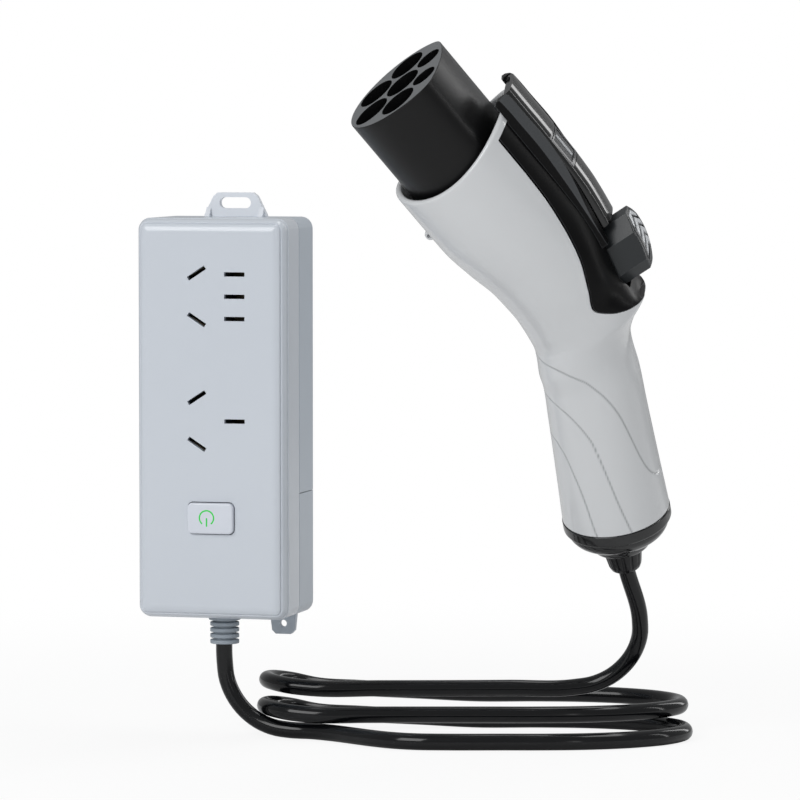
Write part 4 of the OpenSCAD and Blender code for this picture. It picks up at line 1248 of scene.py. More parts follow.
@dataclass
class GunShell:
    """The two halves of the pale shell, with their collar band and the handle's grooves."""

    form: GunForm
    at: GunFrame
    rim_z: float = -34.9
    band_end_z: float = -38.4
    groove_depth: float = 0.3
    groove_half: float = 0.3
    degree_length: float = 0.36
    fine_pitch: float = 0.4
    fine_reach: float = 33.0
    pitch: float = 1.1
    columns: int = 140
    inner_columns: int = 26
    band_columns: int = 120
    # Degrees past the opening's edge, and how far the wall is drawn in there.
    lip: tuple[tuple[float, float], ...] = ((0, 0.6), (0.25, 0.3), (0.6, 0.11), (1.1, 0.02), (1.7, 0.0))
    lip_end: float = 2.2
    # The same before the parting line.
    seam: tuple[tuple[float, float], ...] = ((1.1, 0.0), (0.6, 0.03), (0.3, 0.1), (0.1, 0.22), (0, 0.4))
    seam_start: float = 1.5
    # Distance before the handle's end, and how far the wall is drawn in there.
    tail: tuple[tuple[float, float], ...] = ((0.25, 0.05), (0.1, 0.16), (0.0, 0.34))
    lug_z: float = -59.5
    # Distance from the middle, drop below the collar and radius of each ring of half the lug.
    lug_rings: tuple[tuple[float, float, float], ...] = (
        (0.12, 1.2, 2.3), (1.7, 1.2, 2.3), (2.05, 1.2, 2.18), (2.2, 1.2, 1.9),
        (2.2, 1.8, 0.95), (0.12, 1.8, 0.95))
    # Distance from the handle's start and degrees round it, for each point of a groove.
    grooves: tuple[tuple[tuple[float, float], ...], ...] = (
        ((-28.5, 178), (-26.2, 155), (-22, 133), (-17.5, 115), (-13.5, 102), (-9.3, 91.5), (-4.2, 82),
         (0.5, 73.5), (5.9, 65), (11.8, 58), (18.3, 52.5), (25.5, 47), (33.8, 40), (39.5, 33), (43, 25.5),
         (45.5, 14), (46, 0)),
        ((1.5, 178), (2.6, 148), (5.3, 127.5), (8.1, 115), (12.6, 103.5), (16.7, 97), (21.1, 92.5),
         (26.2, 90), (32.8, 87), (41.5, 82.5), (50.6, 77.5), (61.6, 70), (64.4, 68)),
        ((20, 178), (22, 145), (26.5, 131.5), (30.4, 126), (35.1, 121.5), (41.9, 116), (49, 112), (62.2, 107),
         (64.4, 106)))

    def groove_lines(self, start: float) -> list[Array]:
        """The grooves as dense lines of points on the form.

        Args:
            start: how far along the form the handle starts.

        Returns:
            One line of points for each groove.
        """
        lines = []
        for groove in self.grooves:
            rows = np.array(groove, float)
            reach = travelled(rows * (1.0, self.degree_length))
            dense = through(reach, rows, np.arange(0, reach[-1], 0.25))
            sections = self.form.sections(start + dense[:, 0])
            lines.append(self.form.points(sections, dense[:, 1:2])[:, 0])
        return lines

    def outside(self, sections: Array) -> Array:
        """The outside, with its edges rolled in at the opening, the parting line and the end.

        Args:
            sections: the sections that it runs through, the last ones at the handle's end.

        Returns:
            Rows of points in the gun's frame.
        """
        cuts = sections[:, 6:7]
        lip, lip_inset = np.array(self.lip).T
        seam, seam_inset = np.array(self.seam).T
        shares = np.linspace(0, 1, self.columns)
        middle = (cuts + self.lip_end) + (180 - self.seam_start - cuts - self.lip_end) * shares
        angles = np.hstack([cuts + lip, middle, np.repeat(180 - seam[None], len(cuts), 0)])
        insets = np.concatenate([lip_inset, np.zeros(self.columns), seam_inset])
        insets = np.repeat(insets[None], len(cuts), 0)
        ends = np.array(self.tail)[:, 1:]
        insets[-len(ends):] = np.maximum(insets[-len(ends):], ends)
        return self.form.points(sections, angles, insets)

    def groove_marks(self, near: Array, start: float) -> Array:
        """How deep in a groove points lie.

        Args:
            near: rows of points on the form.
            start: how far along the form the handle starts.

        Returns:
            From 0, beside the grooves, to 1, in the middle of one.
        """
        marks = np.zeros(near.shape[:2])
        for line in self.groove_lines(start):
            gap = np.full(near.shape[:2], FAR)
            for first in range(0, len(line), 40):
                part = line[first:first + 40]
                gap = np.minimum(gap, np.linalg.norm(near[:, :, None] - part[None, None], axis=-1).min(-1))
            marks = np.maximum(marks, np.exp(-((gap / self.groove_half) ** 2)))
        return marks

    def body(self, skin: Skin) -> None:
        """Adds the wall from the collar's band to the handle's end.

        Args:
            skin: what it is added to.
        """
        form = self.form
        places = form.places()
        handle_start = places[len(form.body)]
        fine_start = handle_start - self.fine_reach
        rows_at = np.concatenate([spread(0, fine_start, self.pitch)[:-1],
                                  spread(fine_start, places[-1] - 0.5, self.fine_pitch),
                                  places[-1] - np.array(self.tail)[:, 0]])
        sections = form.sections(rows_at)
        outer = self.outside(sections)
        inner_angles = 180 + (sections[:, 6:7] - 180) * np.linspace(0, 1, self.inner_columns)
        inner = form.points(sections, inner_angles, form.wall)
        marks = np.zeros(outer.shape[:2])
        fine = rows_at > fine_start - 1
        marks[fine] = self.groove_marks(outer[fine], handle_start)
        middle = np.stack([np.zeros(len(sections)), (sections[:, 1] + sections[:, 3]) / 2,
                           (sections[:, 0] + sections[:, 2]) / 2], -1)
        down = outer - middle[:, None]
        down /= np.linalg.norm(down, axis=-1, keepdims=True)
        # The marks sink the grooves, and the shell's finish paints shade in them.
        outer = outer - down * (marks * self.groove_depth)[..., None]
        all_marks = np.concatenate([marks, np.zeros(inner.shape[:2])], 1)
        self.wall_loft(skin, np.concatenate([outer, inner], 1), outer.shape[1], all_marks)

    def wall_loft(self, skin: Skin, rings: Array, outer: int, marks: Array) -> None:
        """Adds a wall whose rings run along its outside and back along its inside.

        Args:
            skin: what it is added to.
            rings: the rings.
            outer: how many points of a ring lie outside.
            marks: a value for each point.
        """
        rows, count = rings.shape[:2]
        start = skin.count
        ends = []
        skin.loft(rings, caps="none", mark=marks)
        inner = count - outer
        for row in (0, rows - 1):
            first = start + row * count
            i, j = 0, 0
            while i < outer - 1 or j < inner - 1:
                here, there = first + i, first + count - 1 - j
                if j >= inner - 1 or (i < outer - 1 and i * (inner - 1) <= j * (outer - 1)):
                    ends.append([here, here + 1, there])
                    i += 1
                else:
                    ends.append([here, there - 1, there])
                    j += 1
        skin.cover(ends)

    def band(self, skin: Skin) -> None:
        """Adds the collar's band, with a rounded rim.

        Args:
            skin: what it is added to.
        """
        form = self.form
        half = form.wall / 2
        profile = [(self.band_end_z, 0.0), (self.band_end_z + 1, 0.0), (self.rim_z - half, 0.0)]
        profile += [(self.rim_z - half + half * math.sin(a), half * (1 - math.cos(a)))
                    for a in np.radians(range(15, 180, 15))]
        profile += [(self.rim_z - half, form.wall), (self.band_end_z, form.wall)]
        edge = np.array([0, 0.25, 0.7])
        edge_inset = np.array([0.3, 0.1, 0.02])
        angles = np.concatenate([edge, np.linspace(1.4, 178.6, self.band_columns), 180 - edge[::-1]])
        seam = np.concatenate([edge_inset, np.zeros(self.band_columns), edge_inset[::-1]])
        rows = []
        for z, inset in profile:
            section = np.array([z, -form.collar, z, form.collar, form.collar, 2, 0, 1.0])
            extra = seam if inset < half else -seam
            rows.append(form.points(section, angles, inset + extra))
        skin.loft(np.array(rows).transpose(1, 0, 2), flip=True)

    def lug(self, skin: Skin) -> None:
        """Adds half of the lug for the dust cap's tether, with its hole.

        Args:
            skin: what it is added to.
        """
        around = turn_round(24)
        root = -self.form.collar
        rings = [np.column_stack([np.full(len(around), x), radius * np.sin(around) + root - drop,
                                  radius * np.cos(around) + self.lug_z])
                 for x, drop, radius in self.lug_rings]
        skin.loft(np.array(rings), caps="round")

    def build(self, side: Side) -> None:
        """Builds one half of the shell.

        Args:
            side: which half.
        """
        skin = Skin()
        self.body(skin)
        self.band(skin)
        self.lug(skin)
        mirror = np.array([side.value, 1, 1])
        skin.points = [self.at.place(p * mirror) for p in skin.points]
        node = "gun_shell_right" if side is Side.RIGHT else "gun_shell_left"
        fit(skin.piece(node + "_moulded", [GUN_SHELL], 32), node, ROOT)


@dataclass
class Nose:
    """The plug's nose, its seal and its contacts."""

    at: GunFrame
    radius: float = 26.5
    flat: float = 19.8
    crown: float = 0.008
    length: float = 58.0
    wall: float = 40.0
    pitch: float = 17.0
    signal_row: float = 12.1
    corner: float = 1.2
    # Inner and outer radius of the flange inside the shell, and the Z of its two faces.
    flange: tuple[float, float, float, float] = (20.0, 28.4, -46.5, -43.5)
    # Radius of each step of a mouth, and how deep it goes.
    power_steps: tuple[tuple[float, float], ...] = ((7.95, 12.0), (6.0, 30.0), (4.3, 59.0))
    signal_steps: tuple[tuple[float, float], ...] = ((5.5, 12.0), (3.6, 30.0), (2.5, 59.0))

    def outline(self, inset: float) -> Array:
        """The nose's outline: round, with one gently crowned side and soft corners.

        Args:
            inset: how far inside the nose's surface it runs.

        Returns:
            One row of two coordinates for each point.
        """
        angles = turn_round(240)
        rise, across = np.sin(angles), np.cos(angles)
        top = self.flat - inset
        bend = self.crown * across ** 2
        root = np.sqrt(rise ** 2 + 4 * bend * top)
        with np.errstate(divide="ignore"):
            side = np.where(rise > 0.05, 2 * top / (rise + root), FAR)
        both = np.exp(-self.corner * (self.radius - inset)) + np.exp(-self.corner * side)
        reach = -np.log(both) / self.corner
        return np.stack([reach * across, reach * rise], -1)

    def hole(self, place: Point, steps: Sequence[Point]) -> Thing:
        """A stepped round cutter.

        Args:
            place: its middle on the nose's face.
            steps: pairs of radius and depth, from the face inwards.

        Returns:
            The solid.
        """
        profile = [(AXIS, 1.0), (steps[0][0], 1.0)]
        for (radius, depth), (after, _) in zip(steps, [*steps[1:], (AXIS, 0)]):
            profile += [(radius, -depth), (after, -depth)]
        return turned_block(profile, 72, lambda rings: self.at.place(rings + np.array([*place, 0])))

    def build_nose(self) -> Thing:
        """The nose with its seven stepped mouths.

        Returns:
            The nose.
        """
        rows = [(0.5, -self.length), (0.5, -self.wall), (0.0, -self.wall + 0.05), (0.0, -20), (0.0, -0.5),
                (0.07, -0.22), (0.22, -0.07), (0.5, 0.0)]
        rings = [np.insert(self.outline(inset), 2, z, axis=1) for inset, z in rows]
        skin = Skin()
        skin.loft(self.at.place(np.array(rings)))
        inner, outer, low, high = self.flange
        flange = revolved([(inner, low), (outer, low), (outer, high), (inner, high)], 120)
        flange[..., 1] = np.minimum(flange[..., 1], self.flat)
        skin.loft(self.at.place(flange), caps="round")
        nose = skin.piece("plug_nose_moulded", [NOSE_BLACK, NOSE_FACE_PAINTED_LIGHT], 40)
        row = -self.pitch * math.sin(math.radians(60))
        half = self.pitch / 2
        power = [(0, 0), (self.pitch, 0), (-self.pitch, 0), (half, row), (-half, row)]
        cutters = [self.hole(place, self.power_steps) for place in power]
        cutters += [self.hole((x, self.signal_row), self.signal_steps) for x in (-half, half)]
        soften(carve(nose, cutters), 0.3, 50)
        # Faces on the front face take the painted light.
        axis = Vector(self.at.matrix()[:, 2].tolist())
        tip = Vector(self.at.at) * MM
        for face in nose.data.polygons:
            if (face.center - tip).dot(axis) > -0.0003 and face.normal.dot(axis) > 0.8:
                face.material_index = 1
        return nose

    def build(self) -> None:
        """Builds the nose and dresses what it holds."""
        fit(dressed_copy("nose_seal", [SEAL_BLACK], 0.3), "nose_seal", ROOT)
        fit(self.build_nose(), "plug_nose", ROOT)
        dress(CONTACT_SILVER, "power_contacts", "signal_contacts")
        dress(INNER_BLACK, "contact_plate")


@dataclass
class Latch:
    """The black latch housing with its rails, the lever, its inset and the release button."""

    form: GunForm
    at: GunFrame
    lever_half: float = 9.0
    lever_wall: float = 1.8
    inner: float = 9.8
    rail: float = 3.2
    floor: float = 26.0
    pivot: tuple[float, float] = (29.6, -78.0)
    pin_hole: float = 1.56
    # Z of a section of the rails, then the height of its foot, its outer edge and its top.
    rails: tuple[tuple[float, float, float, float], ...] = (
        (-24.8, 31, 31.6, 34.4), (-26, 29.9, 31.8, 35.2), (-34.6, 29.9, 32.2, 35.5), (-34.8, 26, 32.2, 35.5),
        (-48, 26, 32.4, 35.8), (-69, 25, 31.2, 34), (-85, 23, 29.6, 31.4), (-101, 20, 27.9, 28.3))
    # Z of a section of the lever, the height of its top and its depth.
    lever: tuple[tuple[float, float, float], ...] = (
        (-25.1, 36.9, 3.4), (-26, 36.95, 5), (-27.6, 37, 6), (-33, 37, 6), (-37, 37, 5), (-45, 37.1, 4.6),
        (-62, 36.9, 4.6), (-77, 36.2, 4.6), (-86, 35.1, 4.6), (-92, 34.1, 4.6), (-95.4, 33.5, 4.6))
    inset: tuple[float, float] = (-67.5, -51.5)
    button_z: float = -109.6
    button_face: float = 38.8
    button_foot: float = 20.0
    button_lean: float = 11.5
    dome: float = 36.0
    button: tuple[float, float] = (18.0, 24.8)
    narrowing: tuple[float, float] = (5.2, 3.4)
    straight: tuple[float, float] = (5.6, -7.1)
    chevrons: tuple[float, ...] = (-9.4, -5.0, -0.6, 3.8)
    chevron_half: float = 5.6
    button_edge: float = 0.25
    # The spring's turns, its radius and height, and the radius of its wire.
    spring: tuple[float, float, float, float] = (4.5, 2.5, 5.5, 0.3)
    spring_z: float = -87.4

    def bar(self, outline: Sequence[Point], low: float, high: float,
            axis: Point = (0, 1, 0)) -> Thing:
        """A cutting solid in the gun's frame.

        Args:
            outline: its outline.
            low: how far along the axis it starts.
            high: how far along the axis it ends.
            axis: the way that it runs.

        Returns:
            The solid.
        """
        way = self.at.matrix() @ np.array(axis, float)
        return prism(self.at.place(outline), way * low, way * high)

    def rod(self, skin: Skin, section: Sequence[Point], low: float, high: float, mat: int = 0) -> None:
        """Adds a rod of one section that runs along the gun.

        Args:
            skin: what it is added to.
            section: its corners, across and up.
            low: Z of its foot.
            high: Z of its top.
            mat: which of the piece's finishes it takes.
        """
        skin.loft(self.at.place([[(x, y, z) for x, y in section] for z in (low, high)]), mat=mat)

    def button_corners(self, grow: float) -> list[Point]:
        """Corners of the button's outline, a little larger all round.

        Args:
            grow: how much larger.

        Returns:
            Pairs of place across and along, from the right at the top round to the left.
        """
        half, end = self.button[0] / 2 + grow, self.button[1] / 2 + grow
        top, foot = self.narrowing
        right = [(half - top, end), (half, self.straight[0]), (half, self.straight[1]), (half - foot, -end)]
        return right + [(-x, y) for x, y in right[::-1]]

    def saddle(self) -> Thing:
        """The housing's body, which closes the shell's opening and dips round the button.

        Returns:
            The body.
        """
        form = self.form
        places = form.places()
        known = len(form.sinks)
        end = places[known - 1] + 0.85 * (places[known] - places[known - 1])
        at = spread(0, end, 0.9)
        sections = form.sections(at)
        sinks = np.array(form.sinks + (form.sinks[-1],))[:, None]
        dip = through(places[:known + 1], sinks, at)
        share = np.linspace(1, -1, 81)[None]
        edges = np.maximum(sections[:, 6:7] - 1, 0.5) * share
        rings = form.points(sections, edges, 0.1 + dip * (1 - share ** 2) ** 2)
        rings[0, :, 2] -= 0.3
        skin = Skin()
        skin.loft(self.at.place(rings))
        body = skin.piece("latch_housing_moulded", [LATCH_BLACK, RAIL_GREY], 30)
        well = [(x, 0, self.button_z + y) for x, y in self.button_corners(1.2)]
        carve(body, [self.bar(rectangle(self.inner, -103, -34), self.floor, 46), self.bar(well, 15.4, 46),
                     self.bar(rectangle(7, -124, -91.4), 12.4, 36.4)])
        return soften(body, 0.3, 40, 3)

    def rail_pair(self) -> Thing:
        """Both rails, each with a grey strip on top that runs out to a point near the button.

        Returns:
            The pair.
        """
        rows = np.array(self.rails, float)
        at = np.unique(np.concatenate([-rows[:, 0], spread(24.8, 34.6, 1.2), spread(34.8, 101, 1.2)]))
        foot, low, high = through(-rows[:, 0], rows[:, 1:], at).T
        taper = smooth_step(at, 62, 101)
        step = self.rail - 0.4
        skin = Skin()
        for side in (-1, 1):
            inner, outer = side * self.inner, side * (self.inner + self.rail)
            middle = side * (self.inner + 0.4 + (step - 0.15) * taper)
            level = high + (low - high) * (step - 0.15) / step * taper
            lines = [(inner, foot), (outer, foot - 1.1), (outer, low), (middle, level),
                     (side * (self.inner + 0.4), high), (inner, high)]
            rings = np.stack([np.stack([np.broadcast_to(x, at.shape), y, -at], -1) for x, y in lines], 1)
            start = len(skin.faces)
            skin.loft(self.at.place(rings))
            for k in range(start + 2, start + 6 * (len(at) - 1), 6):
                skin.mats[k] = 1
        return soften(skin.piece("rails", [LATCH_BLACK, RAIL_GREY], 20), 0.22, 24)

    def lever_skin(self) -> Thing:
        """The lever's hollow bar, open below and at its front.

        Returns:
            The bar.
        """
        rows = np.array(self.lever, float)
        at = np.unique(np.concatenate([-rows[:, 0], spread(25.1, 95.4, 0.9)]))
        tops, depths = through(-rows[:, 0], rows[:, 1:], at).T
        rings = []
        w = self.lever_half
        for z, top, depth in zip(-at, tops, depths):
            foot = top - depth
            right = [(0, top), (3, top - 0.1), (5.6, top - 0.35), (7.3, top - 0.8), (8.4, top - 1.5),
                     (w, top - 2.6), (w, foot)]
            outside = [(-x, y) for x, y in right[:0:-1]] + right
            across, down = 1 - self.lever_wall / w, 1 - self.lever_wall / depth
            inside = [(x * across, foot + (y - foot) * down) for x, y in outside[::-1]]
            section = np.array(eased(outside + inside, 0.7, 3))
            rings.append(np.column_stack([section, np.full(len(section), z)]))
        skin = Skin()
        skin.loft(self.at.place(np.array(rings)))
        return skin.piece("latch_lever_moulded", [LEVER_BLACK], 32)

    def lever_inside(self) -> Thing:
        """The lever's hook, pivot block and tail.

        Returns:
            The three as one form.
        """
        skin = Skin()
        hook = [(-7.5, 35.8), (-7.5, 33.2), (-5.3, 31.6), (5.3, 31.6), (7.5, 33.2), (7.5, 35.8)]
        self.rod(skin, hook, -28.6, -26.2)
        y, z = self.pivot
        self.rod(skin, rectangle(self.lever_half - 0.6, y - 2.1, y + 5.1)[:, (0, 2)], z - 3.4, z + 3.4)
        tail = [(33.4, -91.2), (31, -91.2), (29.5, -92.6), (17.2, -92.6), (17.2, -119.5), (19.8, -119.5),
                (19.8, -95.2), (32.8, -95.2)]
        skin.loft(self.at.place([[(x, *corner) for corner in tail] for x in (-6, 6)]))
        made = skin.piece("lever_inside", [LEVER_BLACK], 32)
        hole = [(0, y + self.pin_hole * math.cos(a), z + self.pin_hole * math.sin(a)) for a in turn_round(36)]
        return soften(carve(made, [self.bar(hole, -20, 20, (1, 0, 0))]), 0.3, 32)

    def build_lever(self) -> Thing:
        """The whole lever, with the pocket for its inset.

        Returns:
            The lever.
        """
        bar = carve(self.lever_skin(), [self.bar(rectangle(7.4, *self.inset), 35.7, 39)])
        return joined(soften(bar, 0.3, 40, 3), self.lever_inside())

    def build_inset(self) -> Thing:
        """The inset: a framed panel with a raised bar along its far side that carries a painted highlight.

        Returns:
            The inset.
        """
        low, high = self.inset[0] + 0.15, self.inset[1] - 0.15
        crown = [(-7.2, 35.75), (7.2, 35.75), (7.2, 36.0), (5, 36.3), (2.5, 36.5), (0, 36.55), (-2.5, 36.5),
                 (-5, 36.3), (-7.2, 36.0)]
        skin = Skin()
        self.rod(skin, crown, low, high)
        panel = skin.piece("lever_inset_moulded", [INSET_BLACK, INSET_BAR_PAINTED_HIGHLIGHT], 30)
        carve(panel, [self.bar(rectangle(5.7, low + 1.5, high - 2.1), 35.95, 39),
                      self.bar(rectangle(6.4, high - 1.3, high - 0.9), 36.0, 39)])
        # A raised ridge painted bright, as a painted highlight.
        bright = Skin()
        ridge = [(-1.6, 35.9), (0.6, 35.9), (0.4, 36.25), (-1.4, 36.25)]
        self.rod(bright, ridge, low + 2.1, high - 2.7, mat=1)
        bar = bright.piece("inset_bar", [INSET_BLACK, INSET_BAR_PAINTED_HIGHLIGHT], 30)
        return joined(soften(panel, 0.12, 32), soften(bar, 0.12, 32))

    def face(self, u: Array, v: Array, gap: Array) -> tuple[Array, Array]:
        """The button's domed face, with its border and chevrons sunk in.

        Args:
            u: place of each point across.
            v: its place along.
            gap: how far inside the outline it lies.

        Returns:
            The height of each point, and how much of a silver rib it is.
        """
        lean = math.radians(self.button_lean)
        height = (self.button_face - self.dome * math.cos(lean)
                  + np.sqrt(self.dome ** 2 - u ** 2 - (v - self.dome * math.sin(lean)) ** 2))
        edge = self.button_edge
        height -= edge - np.sqrt(np.clip(edge ** 2 - np.clip(edge - gap, 0, edge) ** 2, 0, None))
        border = between(gap, 1.25, 1.8, 0.15)
        inside = smooth_step(gap, 1.9, 2.05)
        off = np.abs(u)
        bend = v - 4 * (1 - off / self.chevron_half)
        cut = np.zeros(u.shape)
        for y in self.chevrons:
            cut = np.maximum(cut, between(bend, y - 0.1, y + 1.5, 0.2))
        cut *= (1 - smooth_step(off, self.chevron_half - 0.1, self.chevron_half + 0.15)) * inside
        height -= 0.35 * border + 0.8 * cut
        beside = 1 - smooth_step(off, self.chevron_half - 0.2, self.chevron_half)
        return height, inside * (1 - cut) * beside * smooth_step(bend, -8, -7.8)

    def build_button(self) -> Thing:
        """The button: a block with flat sides and a face that holds a border and chevrons.

        Returns:
            The button.
        """
        ring = np.array(self.button_corners(0))
        end = self.button[1] / 2
        near = np.array([0.06, 0.12, 0.2, 0.3])
        along = np.unique(np.concatenate([spread(-end, end, 0.17), self.straight,
                                          end - near[:3], near[:3] - end]))
        wide = np.interp(along, ring[3::-1, 1], ring[3::-1, 0])
        near /= self.button[0] / 2
        across = np.unique(np.concatenate([np.linspace(-1, 1, 109), 1 - near, near - 1]))
        u = wide[:, None] * across[None]
        v = np.repeat(along[:, None], len(across), 1)
        gap = np.full(u.shape, FAR)
        for here, there in zip(ring, np.roll(ring, -1, 0)):
            ahead = (there - here) / np.linalg.norm(there - here)
            gap = np.minimum(gap, np.abs((np.stack([u, v], -1) - here) @ np.array([ahead[1], -ahead[0]])))
        height, ribs = self.face(u, v, gap)
        points = np.stack([u, height, self.button_z + v], -1).reshape(-1, 3)
        size = len(points)
        index = np.arange(size).reshape(u.shape)
        faces = np.stack([index[:-1, :-1], index[:-1, 1:], index[1:, 1:], index[1:, :-1]], -1)
        faces = faces.reshape(-1, 4).tolist()
        rim = np.concatenate([index[0], index[1:, -1], index[-1, -2::-1], index[-2:0:-1, 0]])
        foot = points[rim]
        foot[:, 1] = self.button_foot
        below = size + np.arange(len(rim))
        faces += np.column_stack([rim, np.roll(rim, -1), np.roll(below, -1), below]).tolist()
        faces.append(below.tolist())
        marks = np.concatenate([ribs.reshape(-1), np.zeros(len(rim))])
        skin = Skin()
        skin.add(self.at.place(np.vstack([points, foot])), faces, 0, marks)
        return skin.piece("release_button_moulded", [BUTTON_BLACK], 24)

    def build_spring(self) -> None:
        """Builds the spring under the lever."""
        mesh = bpy.data.meshes.new("latch_spring_wound")
        mesh.from_pydata([(0, 0, 0)], [], [])
        turns, radius, height, wire = self.spring
        spring = give_tree(shown(mesh.name, mesh), "wire_coil", {
            "Turns": turns, "Radius": radius * MM, "Height": height * MM, "Wire": wire * MM,
            "Finish": CONTACT_SILVER.material()})
        turn = self.at.matrix() @ np.array([[1, 0, 0], [0, 0, 1], [0, -1, 0]], float)
        matrix = Matrix(turn.tolist()).to_4x4()
        matrix.translation = Vector(self.at.place([0, self.floor + 0.4, self.spring_z]).tolist()) * MM
        spring.data.transform(matrix)
        spring.data.shade_smooth()
        fit(spring, "latch_spring", ROOT)
        anchor = self.at.place([0, self.floor + 0.1, self.spring_z]) * MM
        tuple(self.at.matrix()[:, 1])
        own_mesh(spring)

    def build(self) -> None:
        """Builds and dresses the latch's pieces."""
        fit(joined(self.saddle(), self.rail_pair()), "latch_housing", ROOT)
        fit(self.build_lever(), "latch_lever", "latch")
        fit(self.build_inset(), "lever_inset", "latch")
        fit(self.build_button(), "release_button", "latch")
        self.build_spring()
        dress(SCREW_STEEL, "latch_pin")


@dataclass
class HandleEnd:
    """The black end ring, end cup and fluted gland."""

    form: GunForm
    at: GunFrame
    radius: float = 22.7
    ring: float = 5.2
    cup: float = 12.0
    gland: float = 8.3
    gland_length: float = 11.0
    flutes: int = 12
    flute_slope: float = 9.0
    screw_hole: tuple[float, float, float] = (4.0, 15.6, 1.7)
    screw_length: float = 23.7
    screw_place: float = 4.0
    # Z and Y of each screw, and half the shell's width there.
    towers: tuple[tuple[float, float, float], ...] = ((-74, -17, 25), (-128, -10, 21.5), (-178, -33, 19.8))

    def placed(self, rings: Array) -> Array:
        """Moves points to the handle's end.

        Args:
            rings: points with their height measured outwards from the end.

        Returns:
            The points in the row frame.
        """
        sin, cos = math.sin(math.radians(self.form.lean)), math.cos(math.radians(self.form.lean))
        axes = np.array([[1, 0, 0], [0, -cos, sin], [0, -sin, -cos]])
        return self.at.place(self.form.down_handle(self.form.length) + rings @ axes)

    def build_ring(self) -> Thing:
        """The end ring, with softly broken edges.

        Returns:
            The ring.
        """
        r = self.radius
        profile = [(6.5, 0.1), (r, 0.1), (r + 0.2, 0.5), (r + 0.2, self.ring - 0.7), (r - 0.3, self.ring),
                   (6.5, self.ring)]
        skin = Skin()
        skin.loft(self.placed(revolved(eased(profile, 0.35), 160)), caps="round")
        return skin.piece("end_ring_moulded", [END_BLACK], 24)

    def build_cup(self) -> Thing:
        """The stepped end cup, with the recess of its screw.

        Returns:
            The cup.
        """
        r, start, foot = self.radius, self.ring, self.ring + self.cup
        profile = [(5, start + 0.1), (r - 1.1, start + 0.1), (r - 1.6, start + 2.6), (r - 3.1, start + 4.8),
                   (r - 5.6, start + 6.8), (r - 8.4, start + 8.2), (r - 9.2, start + 8.4),
                   (r - 10, start + 10.2), (self.gland + 3.6, foot - 0.5), (self.gland + 3, foot), (5, foot)]
        skin = Skin()
        skin.loft(self.placed(revolved(eased(profile, 0.9, 4), 160)), caps="round")
        cup = skin.piece("end_cup_moulded", [END_BLACK], 30)
        x, y, radius = self.screw_hole
        hole = np.array([(x + radius * math.cos(a), y + radius * math.sin(a), start + 5)
                         for a in turn_round(30)])
        ends = self.placed(np.stack([hole, hole + np.array([0, 0, self.cup])]))
        carve(cup, [prism(ends[0], np.zeros(3), ends[1][0] - ends[0][0])])
        return soften(cup, 0.2, 40)

    def build_gland(self) -> Thing:
        """The tapered gland with its flutes.

        Returns:
            The gland.
        """
        foot = self.ring + self.cup
        end = foot + self.gland_length
        r = self.gland
        outer = np.array([(r, foot + 0.1), (r, foot + 1.2), (r - 1.3, end - 2.4), (r - 2, end - 0.8),
                          (r - 3, end)])
        levels = np.unique(np.concatenate([outer[:, 1], spread(foot + 1.2, end - 0.1, 0.3)]))
        radii = np.interp(levels, outer[:, 1], outer[:, 0])
        steps = 24 * self.flutes
        angles = turn_round(steps)
        away = np.abs((angles * self.flutes / (2 * math.pi) + 0.5) % 1 - 0.5) * 2 * math.pi / self.flutes
        axis = r + 0.5 - math.tan(math.radians(self.flute_slope)) * (levels[:, None] - foot - 2)
        reach = 1 - (axis * np.sin(away)) ** 2
        cut = axis * np.cos(away) - np.sqrt(np.clip(reach, 0, None))
        inside = (reach > 0) & (levels[:, None] > foot + 2)
        size = np.where(inside, np.minimum(radii[:, None], cut), radii[:, None])
        heights = np.repeat(levels[:, None], steps, 1)
        rings = np.stack([size * np.cos(angles), size * np.sin(angles), heights], -1)
        bore = revolved([(3.8, end), (3.8, foot + 0.1)], steps)
        skin = Skin()
        skin.loft(self.placed(np.concatenate([rings, bore])), caps="round")
        neck = revolved([(3.8, 0.4), (4.9, 0.4), (4.9, foot + 0.4), (3.8, foot + 0.4)], 64)
        skin.loft(self.placed(neck), caps="round")
        return skin.piece("cable_gland_moulded", [CABLE_BLACK], 30)

    def build_screws(self) -> Thing:
        """The three screws that hold the shells together, by the repeating tree.

        Returns:
            All three as one piece.
        """
        places = self.at.place(np.array([(self.screw_place - half, y, z) for z, y, half in self.towers]))
        turns = [self.at.aim(np.array([[0, 0, -1], [0, 1, 0], [1, 0, 0]]))] * len(places)
        screw = CrossScrew(length=self.screw_length).template()
        return repeated("shell_screws_turned", screw, places, turns, SCREW_STEEL)

    def build(self) -> None:
        """Builds and dresses the end's pieces."""
        fit(self.build_ring(), "end_ring", ROOT)
        fit(self.build_cup(), "end_cup", ROOT)
        fit(self.build_gland(), "cable_gland", ROOT)
        fit(self.build_screws(), "shell_screws", ROOT)
        dress(INNER_BLACK, "cord_grip")


# The cable


